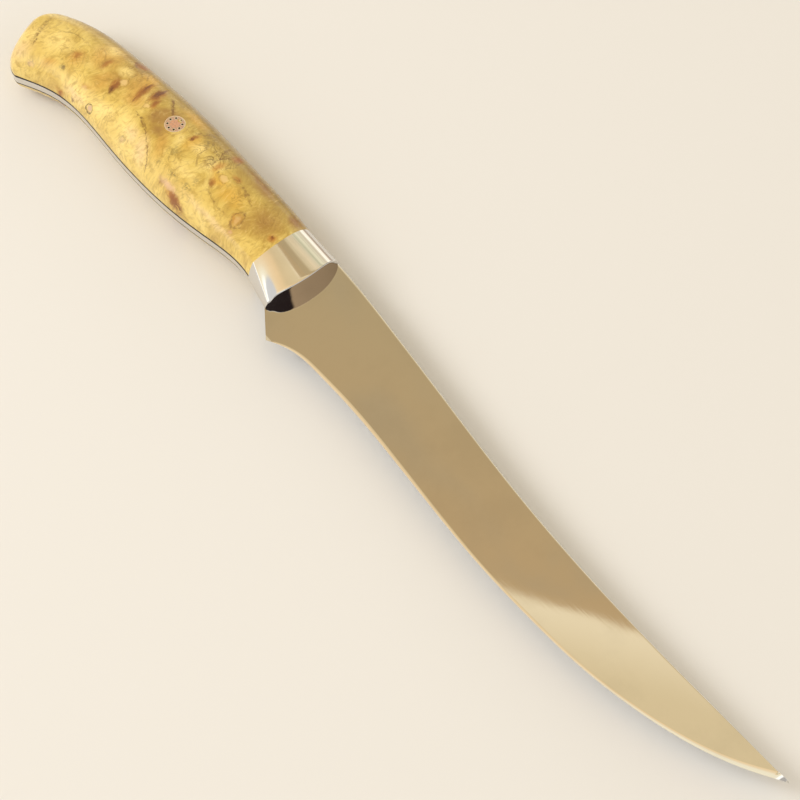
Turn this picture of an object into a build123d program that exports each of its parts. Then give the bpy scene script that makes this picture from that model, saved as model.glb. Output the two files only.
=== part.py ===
from build123d import *
import os
from math import dist, sin, cos, tan, sqrt, radians

# Fillet knife with a full tang, lying on its side.
# +X runs from the butt to the tip, +Y from the belly to the spine and +Z through the thickness.
# Lengths are millimetres. Knife places are counted from the joint between wood and bolster, at the
# handle's middle line and the blade's middle plane. The origin of the part is under the middle of
# the whole knife.

# Blade
blade_length = 207.5
blade_height = 31.2
tang_thickness = 2.4
rear_edge_thickness = 0.36
belly_edge_thickness = 0.26
tip_spine_thinning = 0.52
bevel_half_angle = 17.0
bevel_reach = 4.2
bevel_section_count = 24
edge_skirt = 1.5
ledge = 0.4

# Bolster
bolster_length = 14.75
front_arc_radius = 36.0
front_crown_up = 1.0
nose_belly_down = 14.5
nose_spine_up = 11.25
nose_thickness = 12.25
bolster_pin_diameter = 3.0

# Handle
handle_length = 119.65
handle_height = 28.4
handle_thickness = 17.8
liner_thickness = 0.6
butt_arc_radius = 41.0
butt_pillow_radius = 12.0
butt_inset = 1.4
butt_corner_radius = 8.0
butt_side_gap = 0.6

# Pins through the handle
mosaic_diameter = 6.35
mosaic_wall = 0.35
mosaic_film = 0.03
ring_tube_diameter = 1.16
ring_tube_bore = 0.64
ring_tube_count = 8
outer_rod_count = 6
half_rod_share = 0.5
blind_pin_diameter = 4.0
blind_pin_length = 10.4
pin_clearance = 0.03

# One overrun serves every cut
overrun = 6.0

# Spine of the blade: places along the blade's length and up its height
spine_shares = (
    (-0.040, 0.362),
    (0.025, 0.345),
    (0.122, 0.282),
    (0.266, 0.169),
    (0.411, 0.056),
    (0.555, -0.021),
    (0.700, -0.056),
    (0.845, -0.058),
    (1.000, -0.051),
    (1.012, -0.051),
)

# Cutting edge: places along the blade's length and up its height. It starts behind the heel and
# ends beyond the tip, where the back of the heel and the spine cut it off.
edge_shares = (
    (-0.005, -0.800),
    (0.028, -0.641),
    (0.050, -0.570),
    (0.080, -0.520),
    (0.120, -0.508),
    (0.180, -0.511),
    (0.290, -0.557),
    (0.411, -0.628),
    (0.507, -0.669),
    (0.604, -0.675),
    (0.700, -0.651),
    (0.790, -0.571),
    (0.868, -0.450),
    (0.941, -0.269),
    (1.000, -0.051),
    (1.035, 0.092),
)
rear_edge_place = edge_shares[5]
belly_edge_place = edge_shares[9]

# Back of the heel: from inside the tang through the heel's corner to below it
heel_back_shares = ((-0.026, -0.394), (0.0275, -0.641), (0.0335, -0.668))

# The blade's sides are flat as far as here, then they bend in towards the tip
flat_length_share = 0.56

# Half outlines of a section, from the ridge over the belly face to the spine: shares of half the
# height and half the thickness
joint_profile = (
    (-0.78, 0.84), (-0.45, 0.94), (0.00, 1.00), (0.45, 0.972), (0.75, 0.83), (0.94, 0.56), (1.00, 0.00)
)
nose_profile = (
    (-0.95, 0.26), (-0.80, 0.62), (-0.36, 0.94), (0.30, 1.00), (0.68, 0.89), (0.92, 0.58), (1.00, 0.00)
)
palm_profile = (
    (-0.80, 0.72), (-0.50, 0.945), (0.00, 1.00), (0.42, 0.96), (0.74, 0.79), (0.93, 0.47), (1.00, 0.00)
)
ridge_belly_angle = 33.0
ridge_side_angle = 79.0
ridge_fade_share = 0.285
palm_crispness = 0.1

# Ribs of the handle from the joint to past the butt: belly place and spine place along the handle's
# length and up its height, then the share of its thickness there
handle_rib_shares = (
    (0.0000, -0.391, 0.0000, 0.408, 0.798),
    (0.0585, -0.371, 0.0585, 0.435, 0.826),
    (0.1670, -0.426, 0.1670, 0.460, 0.888),
    (0.2840, -0.491, 0.2840, 0.479, 0.949),
    (0.4010, -0.514, 0.4010, 0.489, 0.989),
    (0.5180, -0.503, 0.5180, 0.479, 1.000),
    (0.6350, -0.470, 0.6350, 0.447, 0.978),
    (0.7355, -0.472, 0.7440, 0.412, 0.949),
    (0.8060, -0.532, 0.8520, 0.352, 0.933),
    (0.8650, -0.630, 0.9405, 0.226, 0.933),
    (1.0530, -0.940, 1.0530, -0.160, 0.921),
)

# Line across the butt, from its belly corner to its spine corner, and the bow's highest place on it
butt_line_shares = ((0.949, -0.768), (1.021, -0.130))
butt_crown_up_share = 0.09

# Places of the pins
mosaic_along_share = 0.453
mosaic_up_share = 0.113
blind_pin_shares = ((0.153, 0.02), (0.814, -0.09))
bolster_pin_along_share = 0.47
bolster_pin_up_shares = (-0.26, 0.24)

half_tang = tang_thickness / 2
half_handle = handle_thickness / 2
liner_face = half_tang + liner_thickness
tip_x = bolster_length + blade_length
nose_x = bolster_length + ledge
lowest_y = min(share[1] for share in edge_shares[1:]) * blade_height
highest_y = max(share[3] for share in handle_rib_shares) * handle_height
middle_x = (tip_x - handle_length) / 2
middle_y = (lowest_y + highest_y) / 2


def knife_point(x, y, z=0):
    """A knife place in the part's own frame."""
    return Vector(x - middle_x, y - middle_y, z + half_handle)


def side_plane(z=0):
    """A plane parallel to the blade's middle plane, drawn on in knife places."""
    return Plane(origin=knife_point(0, 0, z), x_dir=(1, 0, 0), z_dir=(0, 0, 1))


def blade_place(share):
    """A place on the blade from shares of the blade's length and height."""
    return bolster_length + share[0] * blade_length, share[1] * blade_height


def handle_place(along_share, up_share):
    """A place on the handle from shares of the handle's length and height."""
    return -along_share * handle_length, up_share * handle_height


def blend(first, second, share):
    """Places part of the way from the first row of places to the second."""
    return [(a[0] + (b[0] - a[0]) * share, a[1] + (b[1] - a[1]) * share) for a, b in zip(first, second)]


def both_sides(near):
    """The near side's places, and those of the far side going back from the spine to the ridge."""
    return near, [(up_place, -side_place) for up_place, side_place in reversed(near[:-1])]


# All ribs share one row of spline parameters, which follow the distances round the palm profile
near_places, far_places = both_sides(palm_profile)
side_places = list(near_places) + far_places
side_steps = [dist(a, b) for a, b in zip(side_places, side_places[1:])]
side_parameters = [sum(side_steps[:count]) / sum(side_steps) for count in range(len(side_places))]
belly_parameters = [0, 0.5, 1]


def rib_section(belly, spine, thickness, profile, crispness):
    """A closed section square to the blade, with a ridge of the given crispness over its belly face."""
    up = Vector(spine[0] - belly[0], spine[1] - belly[1])
    origin = knife_point((belly[0] + spine[0]) / 2, (belly[1] + spine[1]) / 2)
    plane = Plane(origin=origin, x_dir=up, z_dir=up.cross(Vector(0, 0, 1)))
    half_height = up.length / 2
    near, far = both_sides([(u * half_height, w * thickness / 2) for u, w in profile])
    lowest = (-half_height, 0)
    mean_angle = (ridge_belly_angle + ridge_side_angle) / 2
    fold = crispness * (ridge_side_angle - ridge_belly_angle) / 2
    belly_angle = radians(mean_angle - fold)
    side_angle = radians(mean_angle + fold)
    belly_speed = dist(near[0], lowest) / belly_parameters[1]
    side_speed = dist(near[0], near[1]) / side_parameters[1]
    belly_up, belly_side = belly_speed * sin(belly_angle), belly_speed * cos(belly_angle)
    side_up, side_side = side_speed * sin(side_angle), side_speed * cos(side_angle)
    with BuildSketch(plane) as section:
        with BuildLine():
            belly_curve = Edge.make_spline(
                [far[-1], lowest, near[0]],
                tangents=[(-belly_up, belly_side), (belly_up, belly_side)],
                parameters=belly_parameters,
                scale=False,
            )
            side_curve = Edge.make_spline(
                near + far,
                tangents=[(side_up, side_side), (-side_up, side_side)],
                parameters=side_parameters,
                scale=False,
            )
            add([belly_curve, side_curve])
        make_face()
    return section.sketch


def handle_rib(share):
    """Belly place, spine place and thickness of a handle rib."""
    belly = handle_place(share[0], share[1])
    spine = handle_place(share[2], share[3])
    return belly, spine, share[4] * handle_thickness


def side_slab(low_z, high_z):
    """A slab between two planes parallel to the blade, longer and higher than the knife."""
    with BuildPart() as slab:
        with BuildSketch(side_plane(low_z)):
            with Locations((middle_x, middle_y)):
                Rectangle(tip_x + handle_length + overrun, highest_y - lowest_y + overrun * 2)
        extrude(amount=high_z - low_z)
    return slab.part


def round_bar(place, diameter, length):
    """A bar through the knife, square to the blade, with its middle in the blade's middle plane."""
    with BuildPart() as bar:
        with BuildSketch(side_plane(-length / 2)):
            with Locations(place):
                Circle(diameter / 2)
        extrude(amount=length)
    return bar.part


def front_arc(shift):
    """Three places on the bolster's bowed front line, moved forward by a shift."""
    reach = nose_belly_down + overrun
    crown_x = bolster_length + shift
    end_x = crown_x - front_arc_radius + sqrt(front_arc_radius**2 - reach**2)
    return (end_x, front_crown_up - reach), (crown_x, front_crown_up), (end_x, front_crown_up + reach)


# Butt of the handle: a barrel whose outline is an arc with rounded corners, turned about a line
# inside the handle. Its sides stay just clear of the belly and the spine.
before_belly, before_spine = [Vector(*place) for place in handle_rib(handle_rib_shares[-2])[:2]]
butt_belly, butt_spine = [Vector(*handle_place(*share)) for share in butt_line_shares]
butt_up = butt_spine - butt_belly
butt_plane = Plane(origin=knife_point(*(butt_belly + butt_up / 2)), x_dir=butt_up, z_dir=(0, 0, 1))
butt_reach = butt_up.length / 2 + overrun
crown_up = butt_crown_up_share * butt_up.length
barrel_axis_out = -butt_inset - butt_pillow_radius
inner_belly = before_belly + (before_belly - butt_belly).normalized() * overrun
inner_spine = before_spine + (before_spine - butt_spine).normalized() * overrun
barrel_corners = (inner_belly, butt_belly, butt_spine, inner_spine)

with BuildPart() as butt_barrel:
    with BuildSketch(butt_plane) as barrel_outline:
        Polygon(*[butt_plane.to_local_coords(knife_point(*place)) for place in barrel_corners], align=None)
        offset(amount=butt_side_gap, kind=Kind.INTERSECTION)
        with Locations((crown_up, -butt_inset - butt_arc_radius)):
            Circle(butt_arc_radius, mode=Mode.INTERSECT)
        with Locations((0, barrel_axis_out + butt_reach)):
            Rectangle(butt_reach * 2, butt_reach * 2, mode=Mode.INTERSECT)
        fillet(barrel_outline.vertices().sort_by(Axis.Y)[-2:], butt_corner_radius)
    barrel_axis = Axis(butt_plane.from_local_coords(Vector(0, barrel_axis_out, 0)), butt_up)
    revolve(axis=barrel_axis)

with BuildPart() as butt_cutter:
    with BuildSketch(butt_plane) as butt_block:
        with Locations((0, (barrel_axis_out + butt_corner_radius + butt_reach) / 2)):
            Rectangle(butt_reach * 2, butt_reach - barrel_axis_out - butt_corner_radius)
    extrude(amount=half_handle + overrun, both=True)
    add(butt_barrel.part, mode=Mode.SUBTRACT)

# Whole handle before it is divided into tang, liners and scales
with BuildPart() as handle_blank:
    for share in handle_rib_shares:
        faded = min(share[0] / ridge_fade_share, 1)
        crispness = 1 - faded * (1 - palm_crispness)
        add(rib_section(*handle_rib(share), blend(joint_profile, palm_profile, faded), crispness))
    loft()
    add(butt_cutter.part, mode=Mode.SUBTRACT)

# Whole bolster before it is divided, cut off along its bowed front line
joint_belly, joint_spine, joint_thickness = handle_rib(handle_rib_shares[0])
with BuildPart() as bolster_blank:
    add(rib_section(joint_belly, joint_spine, joint_thickness, joint_profile, 1))
    add(rib_section((nose_x, -nose_belly_down), (nose_x, nose_spine_up), nose_thickness, nose_profile, 1))
    loft()
    with BuildSketch(side_plane()) as behind_front:
        with BuildLine():
            front_line = ThreePointArc(*front_arc(0))
            Polyline(front_line @ 1, (-overrun, (front_line @ 1).Y), (-overrun, (front_line @ 0).Y), front_line @ 0)
        make_face()
    extrude(amount=half_handle + overrun, both=True, mode=Mode.INTERSECT)

# Grind of the blade's sides: the half thickness falls evenly from the spine to the edge, and its
# slopes along and up the blade follow from the thickness at three places
spine_x, spine_y = blade_place(spine_shares[1])
rear_x, rear_y = blade_place(rear_edge_place)
belly_x, belly_y = blade_place(belly_edge_place)
spine_corner = Vector(spine_x, spine_y, half_tang)
rear_corner = Vector(rear_x, rear_y, rear_edge_thickness / 2)
belly_corner = Vector(belly_x, belly_y, belly_edge_thickness / 2)
grind_normal = (belly_corner - rear_corner).cross(spine_corner - rear_corner).normalized()
grind_height = spine_corner.dot(grind_normal) / grind_normal.Z
grind_along = Vector(grind_normal.Z, 0, -grind_normal.X)
grind_plane = Plane(origin=knife_point(0, 0, grind_height), x_dir=grind_along, z_dir=grind_normal)
sweep_plane = Plane(origin=grind_plane.origin, x_dir=grind_along, z_dir=grind_along.cross(grind_normal))
flat_x = bolster_length + flat_length_share * blade_length
sweep_radius = ((tip_x - flat_x) ** 2 + tip_spine_thinning**2) / (2 * tip_spine_thinning)
sweep_end_x = tip_x + overrun
sweep_drop = sweep_radius - sqrt(sweep_radius**2 - (sweep_end_x - flat_x) ** 2)

with BuildPart() as grind_cutter:
    with BuildSketch(grind_plane) as before_plunge:
        with BuildLine():
            plunge_line = ThreePointArc(*front_arc(ledge))
            high_end = (sweep_end_x, (plunge_line @ 1).Y)
            low_end = (sweep_end_x, lowest_y - overrun)
            low_start = ((plunge_line @ 0).X, lowest_y - overrun)
            Polyline(plunge_line @ 1, high_end, low_end, low_start, plunge_line @ 0)
        make_face()
    extrude(amount=half_tang + overrun)
    with BuildSketch(sweep_plane) as tip_sweep:
        with BuildLine():
            sweep_arc = TangentArc((flat_x, 0), (sweep_end_x, -sweep_drop), tangent=(1, 0))
            Polyline(sweep_arc @ 1, (sweep_end_x, overrun), (flat_x, overrun), sweep_arc @ 0)
        make_face()
    extrude(amount=blade_height + overrun, both=True)
    mirror(about=side_plane())

# Sharpening bevels: a notched section carried along the cutting edge, cutting off all below the edge
with BuildLine(side_plane()) as edge_path:
    edge_line = Spline(*[blade_place(share) for share in edge_shares])
bevel_side = bevel_reach * tan(radians(bevel_half_angle))
cutter_side = half_tang + overrun
with BuildPart() as bevel_cutter:
    for step in range(bevel_section_count + 1):
        along = edge_line % (step / bevel_section_count)
        origin = edge_line @ (step / bevel_section_count)
        with BuildSketch(Plane(origin=origin, x_dir=Vector(0, 0, 1).cross(along), z_dir=along)):
            with BuildLine():
                Polyline(
                    (0, 0),
                    (bevel_reach, bevel_side),
                    (bevel_reach, cutter_side),
                    (-edge_skirt * 2, cutter_side),
                    (-edge_skirt * 2, -cutter_side),
                    (bevel_reach, -cutter_side),
                    (bevel_reach, -bevel_side),
                    (0, 0),
                )
            make_face()
    loft()

# Blade outline with a skirt below the cutting edge, ground and bevelled
with BuildPart() as blade_blank:
    with BuildSketch(side_plane()) as blade_outline:
        with BuildLine():
            spine_line = Spline(*[blade_place(share) for share in spine_shares])
            heel_back = ThreePointArc(*[blade_place(share) for share in heel_back_shares])
            skirt_places = [blade_place(share) for share in edge_shares[2:-1]]
            skirt = [(x, y - edge_skirt) for x, y in skirt_places]
            Polyline(heel_back @ 1, *skirt, spine_line @ 1)
            Line(spine_line @ 0, heel_back @ 0)
        make_face()
    extrude(amount=half_tang, both=True)
    add(grind_cutter.part, mode=Mode.SUBTRACT)
    add(bevel_cutter.part, mode=Mode.SUBTRACT)

# Places of the pins
mosaic_place = handle_place(mosaic_along_share, mosaic_up_share)
blind_pin_places = [handle_place(*share) for share in blind_pin_shares]
bolster_pin_x = bolster_pin_along_share * bolster_length
bolster_pin_places = [(bolster_pin_x, share * (nose_belly_down + nose_spine_up)) for share in bolster_pin_up_shares]
through_length = handle_thickness + overrun

# Bores through the handle and the bolster, wider than their pins by the clearance
with BuildPart() as handle_bores:
    add(round_bar(mosaic_place, mosaic_diameter + pin_clearance * 2, through_length))
    for place in blind_pin_places:
        add(round_bar(place, blind_pin_diameter + pin_clearance * 2, blind_pin_length + pin_clearance * 2))
with BuildPart() as bolster_bores:
    for place in bolster_pin_places:
        add(round_bar(place, bolster_pin_diameter + pin_clearance * 2, through_length))

os.makedirs("parts", exist_ok=True)

# Blade and full tang, one piece of steel
with BuildPart() as blade_and_tang:
    add(handle_blank.part)
    add(bolster_blank.part)
    add(side_slab(-half_tang, half_tang), mode=Mode.INTERSECT)
    add(blade_blank.part)
    add(handle_bores.part, mode=Mode.SUBTRACT)
    add(bolster_bores.part, mode=Mode.SUBTRACT)
blade_and_tang.part.label = "blade_and_tang"
export_step(blade_and_tang.part, "parts/blade_and_tang.step")

# Bolsters, one on each side of the tang
with BuildPart() as bolster_right:
    add(bolster_blank.part)
    add(side_slab(half_tang, half_handle + overrun), mode=Mode.INTERSECT)
    add(bolster_bores.part, mode=Mode.SUBTRACT)
bolster_right.part.label = "bolster_right"
export_step(bolster_right.part, "parts/bolster_right.step")

with BuildPart() as bolster_left:
    add(bolster_blank.part)
    add(side_slab(-half_handle - overrun, -half_tang), mode=Mode.INTERSECT)
    add(bolster_bores.part, mode=Mode.SUBTRACT)
bolster_left.part.label = "bolster_left"
export_step(bolster_left.part, "parts/bolster_left.step")

# Pins of the bolsters, finished flush with their sides
with BuildPart() as bolster_pins:
    for place in bolster_pin_places:
        add(round_bar(place, bolster_pin_diameter, through_length))
    add(bolster_blank.part, mode=Mode.INTERSECT)
bolster_pins.part.label = "bolster_pins"
export_step(bolster_pins.part, "parts/bolster_pins.step")

# Liners between tang and scales
with BuildPart() as liner_right:
    add(handle_blank.part)
    add(side_slab(half_tang, liner_face), mode=Mode.INTERSECT)
    add(handle_bores.part, mode=Mode.SUBTRACT)
liner_right.part.label = "liner_right"
export_step(liner_right.part, "parts/liner_right.step")

with BuildPart() as liner_left:
    add(handle_blank.part)
    add(side_slab(-liner_face, -half_tang), mode=Mode.INTERSECT)
    add(handle_bores.part, mode=Mode.SUBTRACT)
liner_left.part.label = "liner_left"
export_step(liner_left.part, "parts/liner_left.step")

# Wooden scales
with BuildPart() as handle_scale_right:
    add(handle_blank.part)
    add(side_slab(liner_face, half_handle + overrun), mode=Mode.INTERSECT)
    add(handle_bores.part, mode=Mode.SUBTRACT)
handle_scale_right.part.label = "handle_scale_right"
export_step(handle_scale_right.part, "parts/handle_scale_right.step")

with BuildPart() as handle_scale_left:
    add(handle_blank.part)
    add(side_slab(-half_handle - overrun, -liner_face), mode=Mode.INTERSECT)
    add(handle_bores.part, mode=Mode.SUBTRACT)
handle_scale_left.part.label = "handle_scale_left"
export_step(handle_scale_left.part, "parts/handle_scale_left.step")

# Mosaic pin: a tube, a ring of small tubes and a bundle of rods, cast together in resin. The rods
# fill the room inside the ring, whose radius spans the middle rod's half and one whole rod.
mosaic_radius = mosaic_diameter / 2 - mosaic_wall
ring_radius = mosaic_radius - mosaic_film - ring_tube_diameter / 2
bundle_radius = ring_radius - ring_tube_diameter / 2 - mosaic_film
rod_diameter = (bundle_radius - mosaic_film) / (half_rod_share + 1)
rod_spacing = rod_diameter + mosaic_film
mosaic_plane = side_plane(-through_length / 2)

with BuildPart() as mosaic_pin_tube:
    with BuildSketch(mosaic_plane) as tube_section:
        with Locations(mosaic_place):
            Circle(mosaic_diameter / 2)
            Circle(mosaic_radius, mode=Mode.SUBTRACT)
    extrude(amount=through_length)
    add(handle_blank.part, mode=Mode.INTERSECT)
mosaic_pin_tube.part.label = "mosaic_pin_tube"
export_step(mosaic_pin_tube.part, "parts/mosaic_pin_tube.step")

with BuildPart() as mosaic_ring_tubes:
    with BuildSketch(mosaic_plane) as ring_section:
        with Locations(mosaic_place):
            with PolarLocations(ring_radius, ring_tube_count):
                Circle(ring_tube_diameter / 2)
            with PolarLocations(ring_radius, ring_tube_count):
                Circle(ring_tube_bore / 2, mode=Mode.SUBTRACT)
    extrude(amount=through_length)
    add(handle_blank.part, mode=Mode.INTERSECT)
mosaic_ring_tubes.part.label = "mosaic_ring_tubes"
export_step(mosaic_ring_tubes.part, "parts/mosaic_ring_tubes.step")

with BuildPart() as mosaic_center_rods:
    with BuildSketch(mosaic_plane) as rod_section:
        with Locations(mosaic_place):
            Circle(rod_diameter / 2)
            with PolarLocations(rod_spacing, outer_rod_count):
                Circle(rod_diameter / 2)
    extrude(amount=through_length)
    add(handle_blank.part, mode=Mode.INTERSECT)
mosaic_center_rods.part.label = "mosaic_center_rods"
export_step(mosaic_center_rods.part, "parts/mosaic_center_rods.step")

# Resin between the tubes and rods and in the bores of the ring tubes
with BuildPart() as mosaic_resin:
    with BuildSketch(mosaic_plane) as resin_section:
        with Locations(mosaic_place):
            Circle(mosaic_radius)
            Circle(rod_diameter / 2, mode=Mode.SUBTRACT)
            with PolarLocations(rod_spacing, outer_rod_count):
                Circle(rod_diameter / 2, mode=Mode.SUBTRACT)
            with PolarLocations(ring_radius, ring_tube_count):
                Circle(ring_tube_diameter / 2, mode=Mode.SUBTRACT)
            with PolarLocations(ring_radius, ring_tube_count):
                Circle(ring_tube_bore / 2)
    extrude(amount=through_length)
    add(handle_blank.part, mode=Mode.INTERSECT)
mosaic_resin.part.label = "mosaic_resin"
export_step(mosaic_resin.part, "parts/mosaic_resin.step")

# Hidden pins that tie the scales to the tang
with BuildPart() as blind_pins:
    for place in blind_pin_places:
        add(round_bar(place, blind_pin_diameter, blind_pin_length))
blind_pins.part.label = "blind_pins"
export_step(blind_pins.part, "parts/blind_pins.step")
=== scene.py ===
import logging
import math
from dataclasses import dataclass
from enum import Enum

import bmesh
import bpy
import numpy as np
from mathutils import Matrix, Vector


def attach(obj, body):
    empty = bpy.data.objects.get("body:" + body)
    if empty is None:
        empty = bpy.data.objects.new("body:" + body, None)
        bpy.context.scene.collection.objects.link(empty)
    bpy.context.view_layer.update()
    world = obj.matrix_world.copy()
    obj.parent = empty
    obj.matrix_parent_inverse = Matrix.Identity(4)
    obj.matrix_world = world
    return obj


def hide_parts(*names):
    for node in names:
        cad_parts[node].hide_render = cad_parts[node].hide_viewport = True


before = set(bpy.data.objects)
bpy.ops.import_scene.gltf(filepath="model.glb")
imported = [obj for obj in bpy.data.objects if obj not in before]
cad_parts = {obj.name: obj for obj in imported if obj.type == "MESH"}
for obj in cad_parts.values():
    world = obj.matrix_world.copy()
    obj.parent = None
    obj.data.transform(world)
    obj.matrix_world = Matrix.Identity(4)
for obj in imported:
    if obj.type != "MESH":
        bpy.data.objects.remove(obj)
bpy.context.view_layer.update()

# Looks of a fillet knife that lies on its left side. Shapes are worked out in knife places:
# millimetres from the joint between wood and bolster, with x towards the tip, y towards the
# spine and z through the thickness from the middle plane. They are moved into the frame at the end.

log = logging.getLogger("fillet_knife")
MILLIMETRE = 0.001
HEIGHT = 2  # the coordinate that counts from the middle plane


class Side(Enum):
    """Which side of the blade a piece lies on."""

    RIGHT = 1
    LEFT = -1


def slopes_through(knots: np.ndarray, points: np.ndarray, start=None, end=None) -> np.ndarray:
    """Slopes of the smooth cubic curve through points.

    The bending is continuous at every inner knot. An end without a given slope takes the slope of the
    single cubic through its nearest four points.

    Args:
        knots: growing parameters, one for each point.
        points: array whose first axis runs along the knots.
        start: slope at the first point, or None.
        end: slope at the last point, or None.

    Returns:
        Array of slopes with the shape of points.
    """
    count = len(knots)
    steps = np.diff(knots)
    flat = points.reshape(count, -1)
    system = np.zeros((count, count))
    right = np.zeros_like(flat)
    inner = np.arange(1, count - 1)
    system[inner, inner - 1] = 1 / steps[:-1]
    system[inner, inner] = 2 / steps[:-1] + 2 / steps[1:]
    system[inner, inner + 1] = 1 / steps[1:]
    rise = np.diff(flat, axis=0) / steps[:, None] ** 2
    right[inner] = 3 * (rise[:-1] + rise[1:])
    system[0, 0] = system[-1, -1] = 1
    right[0] = end_slope(knots[:4], flat[:4]) if start is None else np.ravel(start)
    right[-1] = end_slope(knots[:-5:-1], flat[:-5:-1]) if end is None else np.ravel(end)
    return np.linalg.solve(system, right).reshape(points.shape)


def end_slope(knots: np.ndarray, points: np.ndarray) -> np.ndarray:
    """Slope, at the first of four points, of the cubic through all four.

    Args:
        knots: four parameters, the end's own first.
        points: four rows of coordinates.

    Returns:
        The slope's coordinates.
    """
    powers = (knots - knots[0])[:, None] ** np.arange(4)
    return np.linalg.solve(powers, points)[1]


def curve_at(knots: np.ndarray, points: np.ndarray, slopes: np.ndarray, wanted: np.ndarray) -> np.ndarray:
    """Points of a cubic curve: each span blends its two ends and their slopes.

    Args:
        knots: growing parameters of the given points.
        points: array whose first axis runs along the knots.
        slopes: slopes at the knots.
        wanted: parameters of the wanted points.

    Returns:
        Array with one row for each wanted parameter.
    """
    span = np.clip(np.searchsorted(knots, wanted, side="right") - 1, 0, len(knots) - 2)
    step = knots[span + 1] - knots[span]
    share = (wanted - knots[span]) / step
    shape = (-1,) + (1,) * (points.ndim - 1)
    s, h = share.reshape(shape), step.reshape(shape)
    near = points[span] * (1 + 2 * s) * (1 - s) ** 2 + slopes[span] * h * s * (1 - s) ** 2
    far = points[span + 1] * s**2 * (3 - 2 * s) - slopes[span + 1] * h * s**2 * (1 - s)
    return near + far


def chord_knots(points: np.ndarray) -> np.ndarray:
    """Parameters from 0 to 1 that grow with the distance between neighbouring points."""
    lengths = np.linalg.norm(np.diff(points, axis=0), axis=-1)
    total = np.concatenate([[0], np.cumsum(lengths)])
    return total / total[-1]


def take_between(rows: np.ndarray, places: np.ndarray) -> np.ndarray:
    """Points at broken places along the first axis of a grid, a straight blend of two neighbours.

    Args:
        rows: grid of points, first axis the one to sample.
        places: broken indices, one row of them for each wanted row and one column for each column.

    Returns:
        Grid of points with the shape of places and three coordinates.
    """
    low = np.clip(np.floor(places).astype(int), 0, rows.shape[0] - 2)
    share = (places - low)[..., None]
    columns = np.broadcast_to(np.arange(rows.shape[1]), places.shape)
    return rows[low, columns] * (1 - share) + rows[low + 1, columns] * share


def crossing_place(excess: np.ndarray) -> np.ndarray:
    """Broken index along the first axis where each column first rises through zero.

    Args:
        excess: values that start below zero in every column.

    Returns:
        One broken index for each column, or the last index where a column never crosses.
    """
    over = excess > 0
    found = over.any(axis=0)
    first = np.where(found, over.argmax(axis=0), len(excess) - 1)
    first = np.maximum(first, 1)
    columns = np.arange(excess.shape[1])
    before, after = excess[first - 1, columns], excess[first, columns]
    share = np.where(found, -before / np.where(after == before, 1, after - before), 1)
    return first - 1 + np.clip(share, 0, 1)


@dataclass(frozen=True)
class Mesh:
    """Points and faces of a shape in knife places, before it becomes an object."""

    points: np.ndarray
    faces: list

    @staticmethod
    def grid(points: np.ndarray, closed: bool = False) -> "Mesh":
        """Four-cornered faces between neighbouring rows and columns of a grid.

        Args:
            points: rows, columns and three coordinates.
            closed: whether the last column joins the first.

        Returns:
            The grid as a mesh.
        """
        rows, columns = points.shape[:2]
        index = np.arange(rows * columns).reshape(rows, columns)
        if closed:
            index = np.concatenate([index, index[:, :1]], axis=1)
        corners = [index[:-1, :-1], index[:-1, 1:], index[1:, 1:], index[1:, :-1]]
        faces = np.stack(corners, axis=-1).reshape(-1, 4)
        return Mesh(points.reshape(-1, 3), faces.tolist())

    @staticmethod
    def sheet(points: np.ndarray) -> "Mesh":
        """One flat face with all the points as its outline."""
        return Mesh(points, [list(range(len(points)))])

    def joined(self, *others: "Mesh") -> "Mesh":
        """This mesh and others as one, side by side."""
        points, faces, start = [], [], 0
        for mesh in (self, *others):
            points.append(mesh.points)
            faces += [[corner + start for corner in face] for face in mesh.faces]
            start += len(mesh.points)
        return Mesh(np.concatenate(points), faces)

    def mirrored(self) -> "Mesh":
        """The same shape on the other side of the middle plane."""
        return Mesh(self.points * (1, 1, -1), [face[::-1] for face in self.faces])


    @staticmethod
    def stack(loops: np.ndarray) -> "Mesh":
        """Wall round closed loops, with a flat face at the first and at the last."""
        return Mesh.grid(loops, closed=True).joined(Mesh.sheet(loops[0]), Mesh.sheet(loops[-1]))

    @staticmethod
    def half(body: np.ndarray, side: Side) -> "Mesh":
        """One half of the handle from its outer surface.

        Args:
            body: rows of the surface, which all start and end at the half's flat inner face.
            side: the side that the half lies on.

        Returns:
            The surface closed by its inner face and by a flat face at its first row.
        """
        inner_outline = np.concatenate([body[:, 0], body[-1, 1:-1], body[::-1, -1]])
        whole = Mesh.grid(body).joined(Mesh.sheet(inner_outline), Mesh.sheet(body[0]))
        return whole if side is Side.RIGHT else whole.mirrored()


@dataclass(frozen=True)
class Placement:
    """Where knife places lie in the part's frame."""

    middle_x: float = 51.3
    middle_y: float = -3.5862
    middle_z: float = -8.9

    def to_frame(self, points: np.ndarray) -> np.ndarray:
        """Knife places in millimetres as frame places in metres."""
        return (points - (self.middle_x, self.middle_y, self.middle_z)) * MILLIMETRE

    def build(self, name: str, mesh: Mesh, material, merge: float = 0.0005, sharp: float = 32.0):
        """Makes a finished object from a shape.

        Args:
            name: name of the piece.
            mesh: shape in knife places.
            material: its material.
            merge: distance in millimetres within which points become one.
            sharp: angle in degrees past which an edge stays sharp.

        Returns:
            The object, at the origin, with its faces pointing outwards.
        """
        data = bpy.data.meshes.new(name)
        data.from_pydata(self.to_frame(mesh.points).tolist(), [], mesh.faces)
        data.validate()
        piece = bpy.data.objects.new(name, data)
        bpy.context.scene.collection.objects.link(piece)
        shell = bmesh.new()
        shell.from_mesh(data)
        bmesh.ops.remove_doubles(shell, verts=shell.verts, dist=merge * MILLIMETRE)
        bmesh.ops.recalc_face_normals(shell, faces=shell.faces)
        shell.to_mesh(data)
        shell.free()
        data.shade_smooth()
        data.set_sharp_from_angle(angle=math.radians(sharp))
        data.materials.append(material)
        return piece


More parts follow.
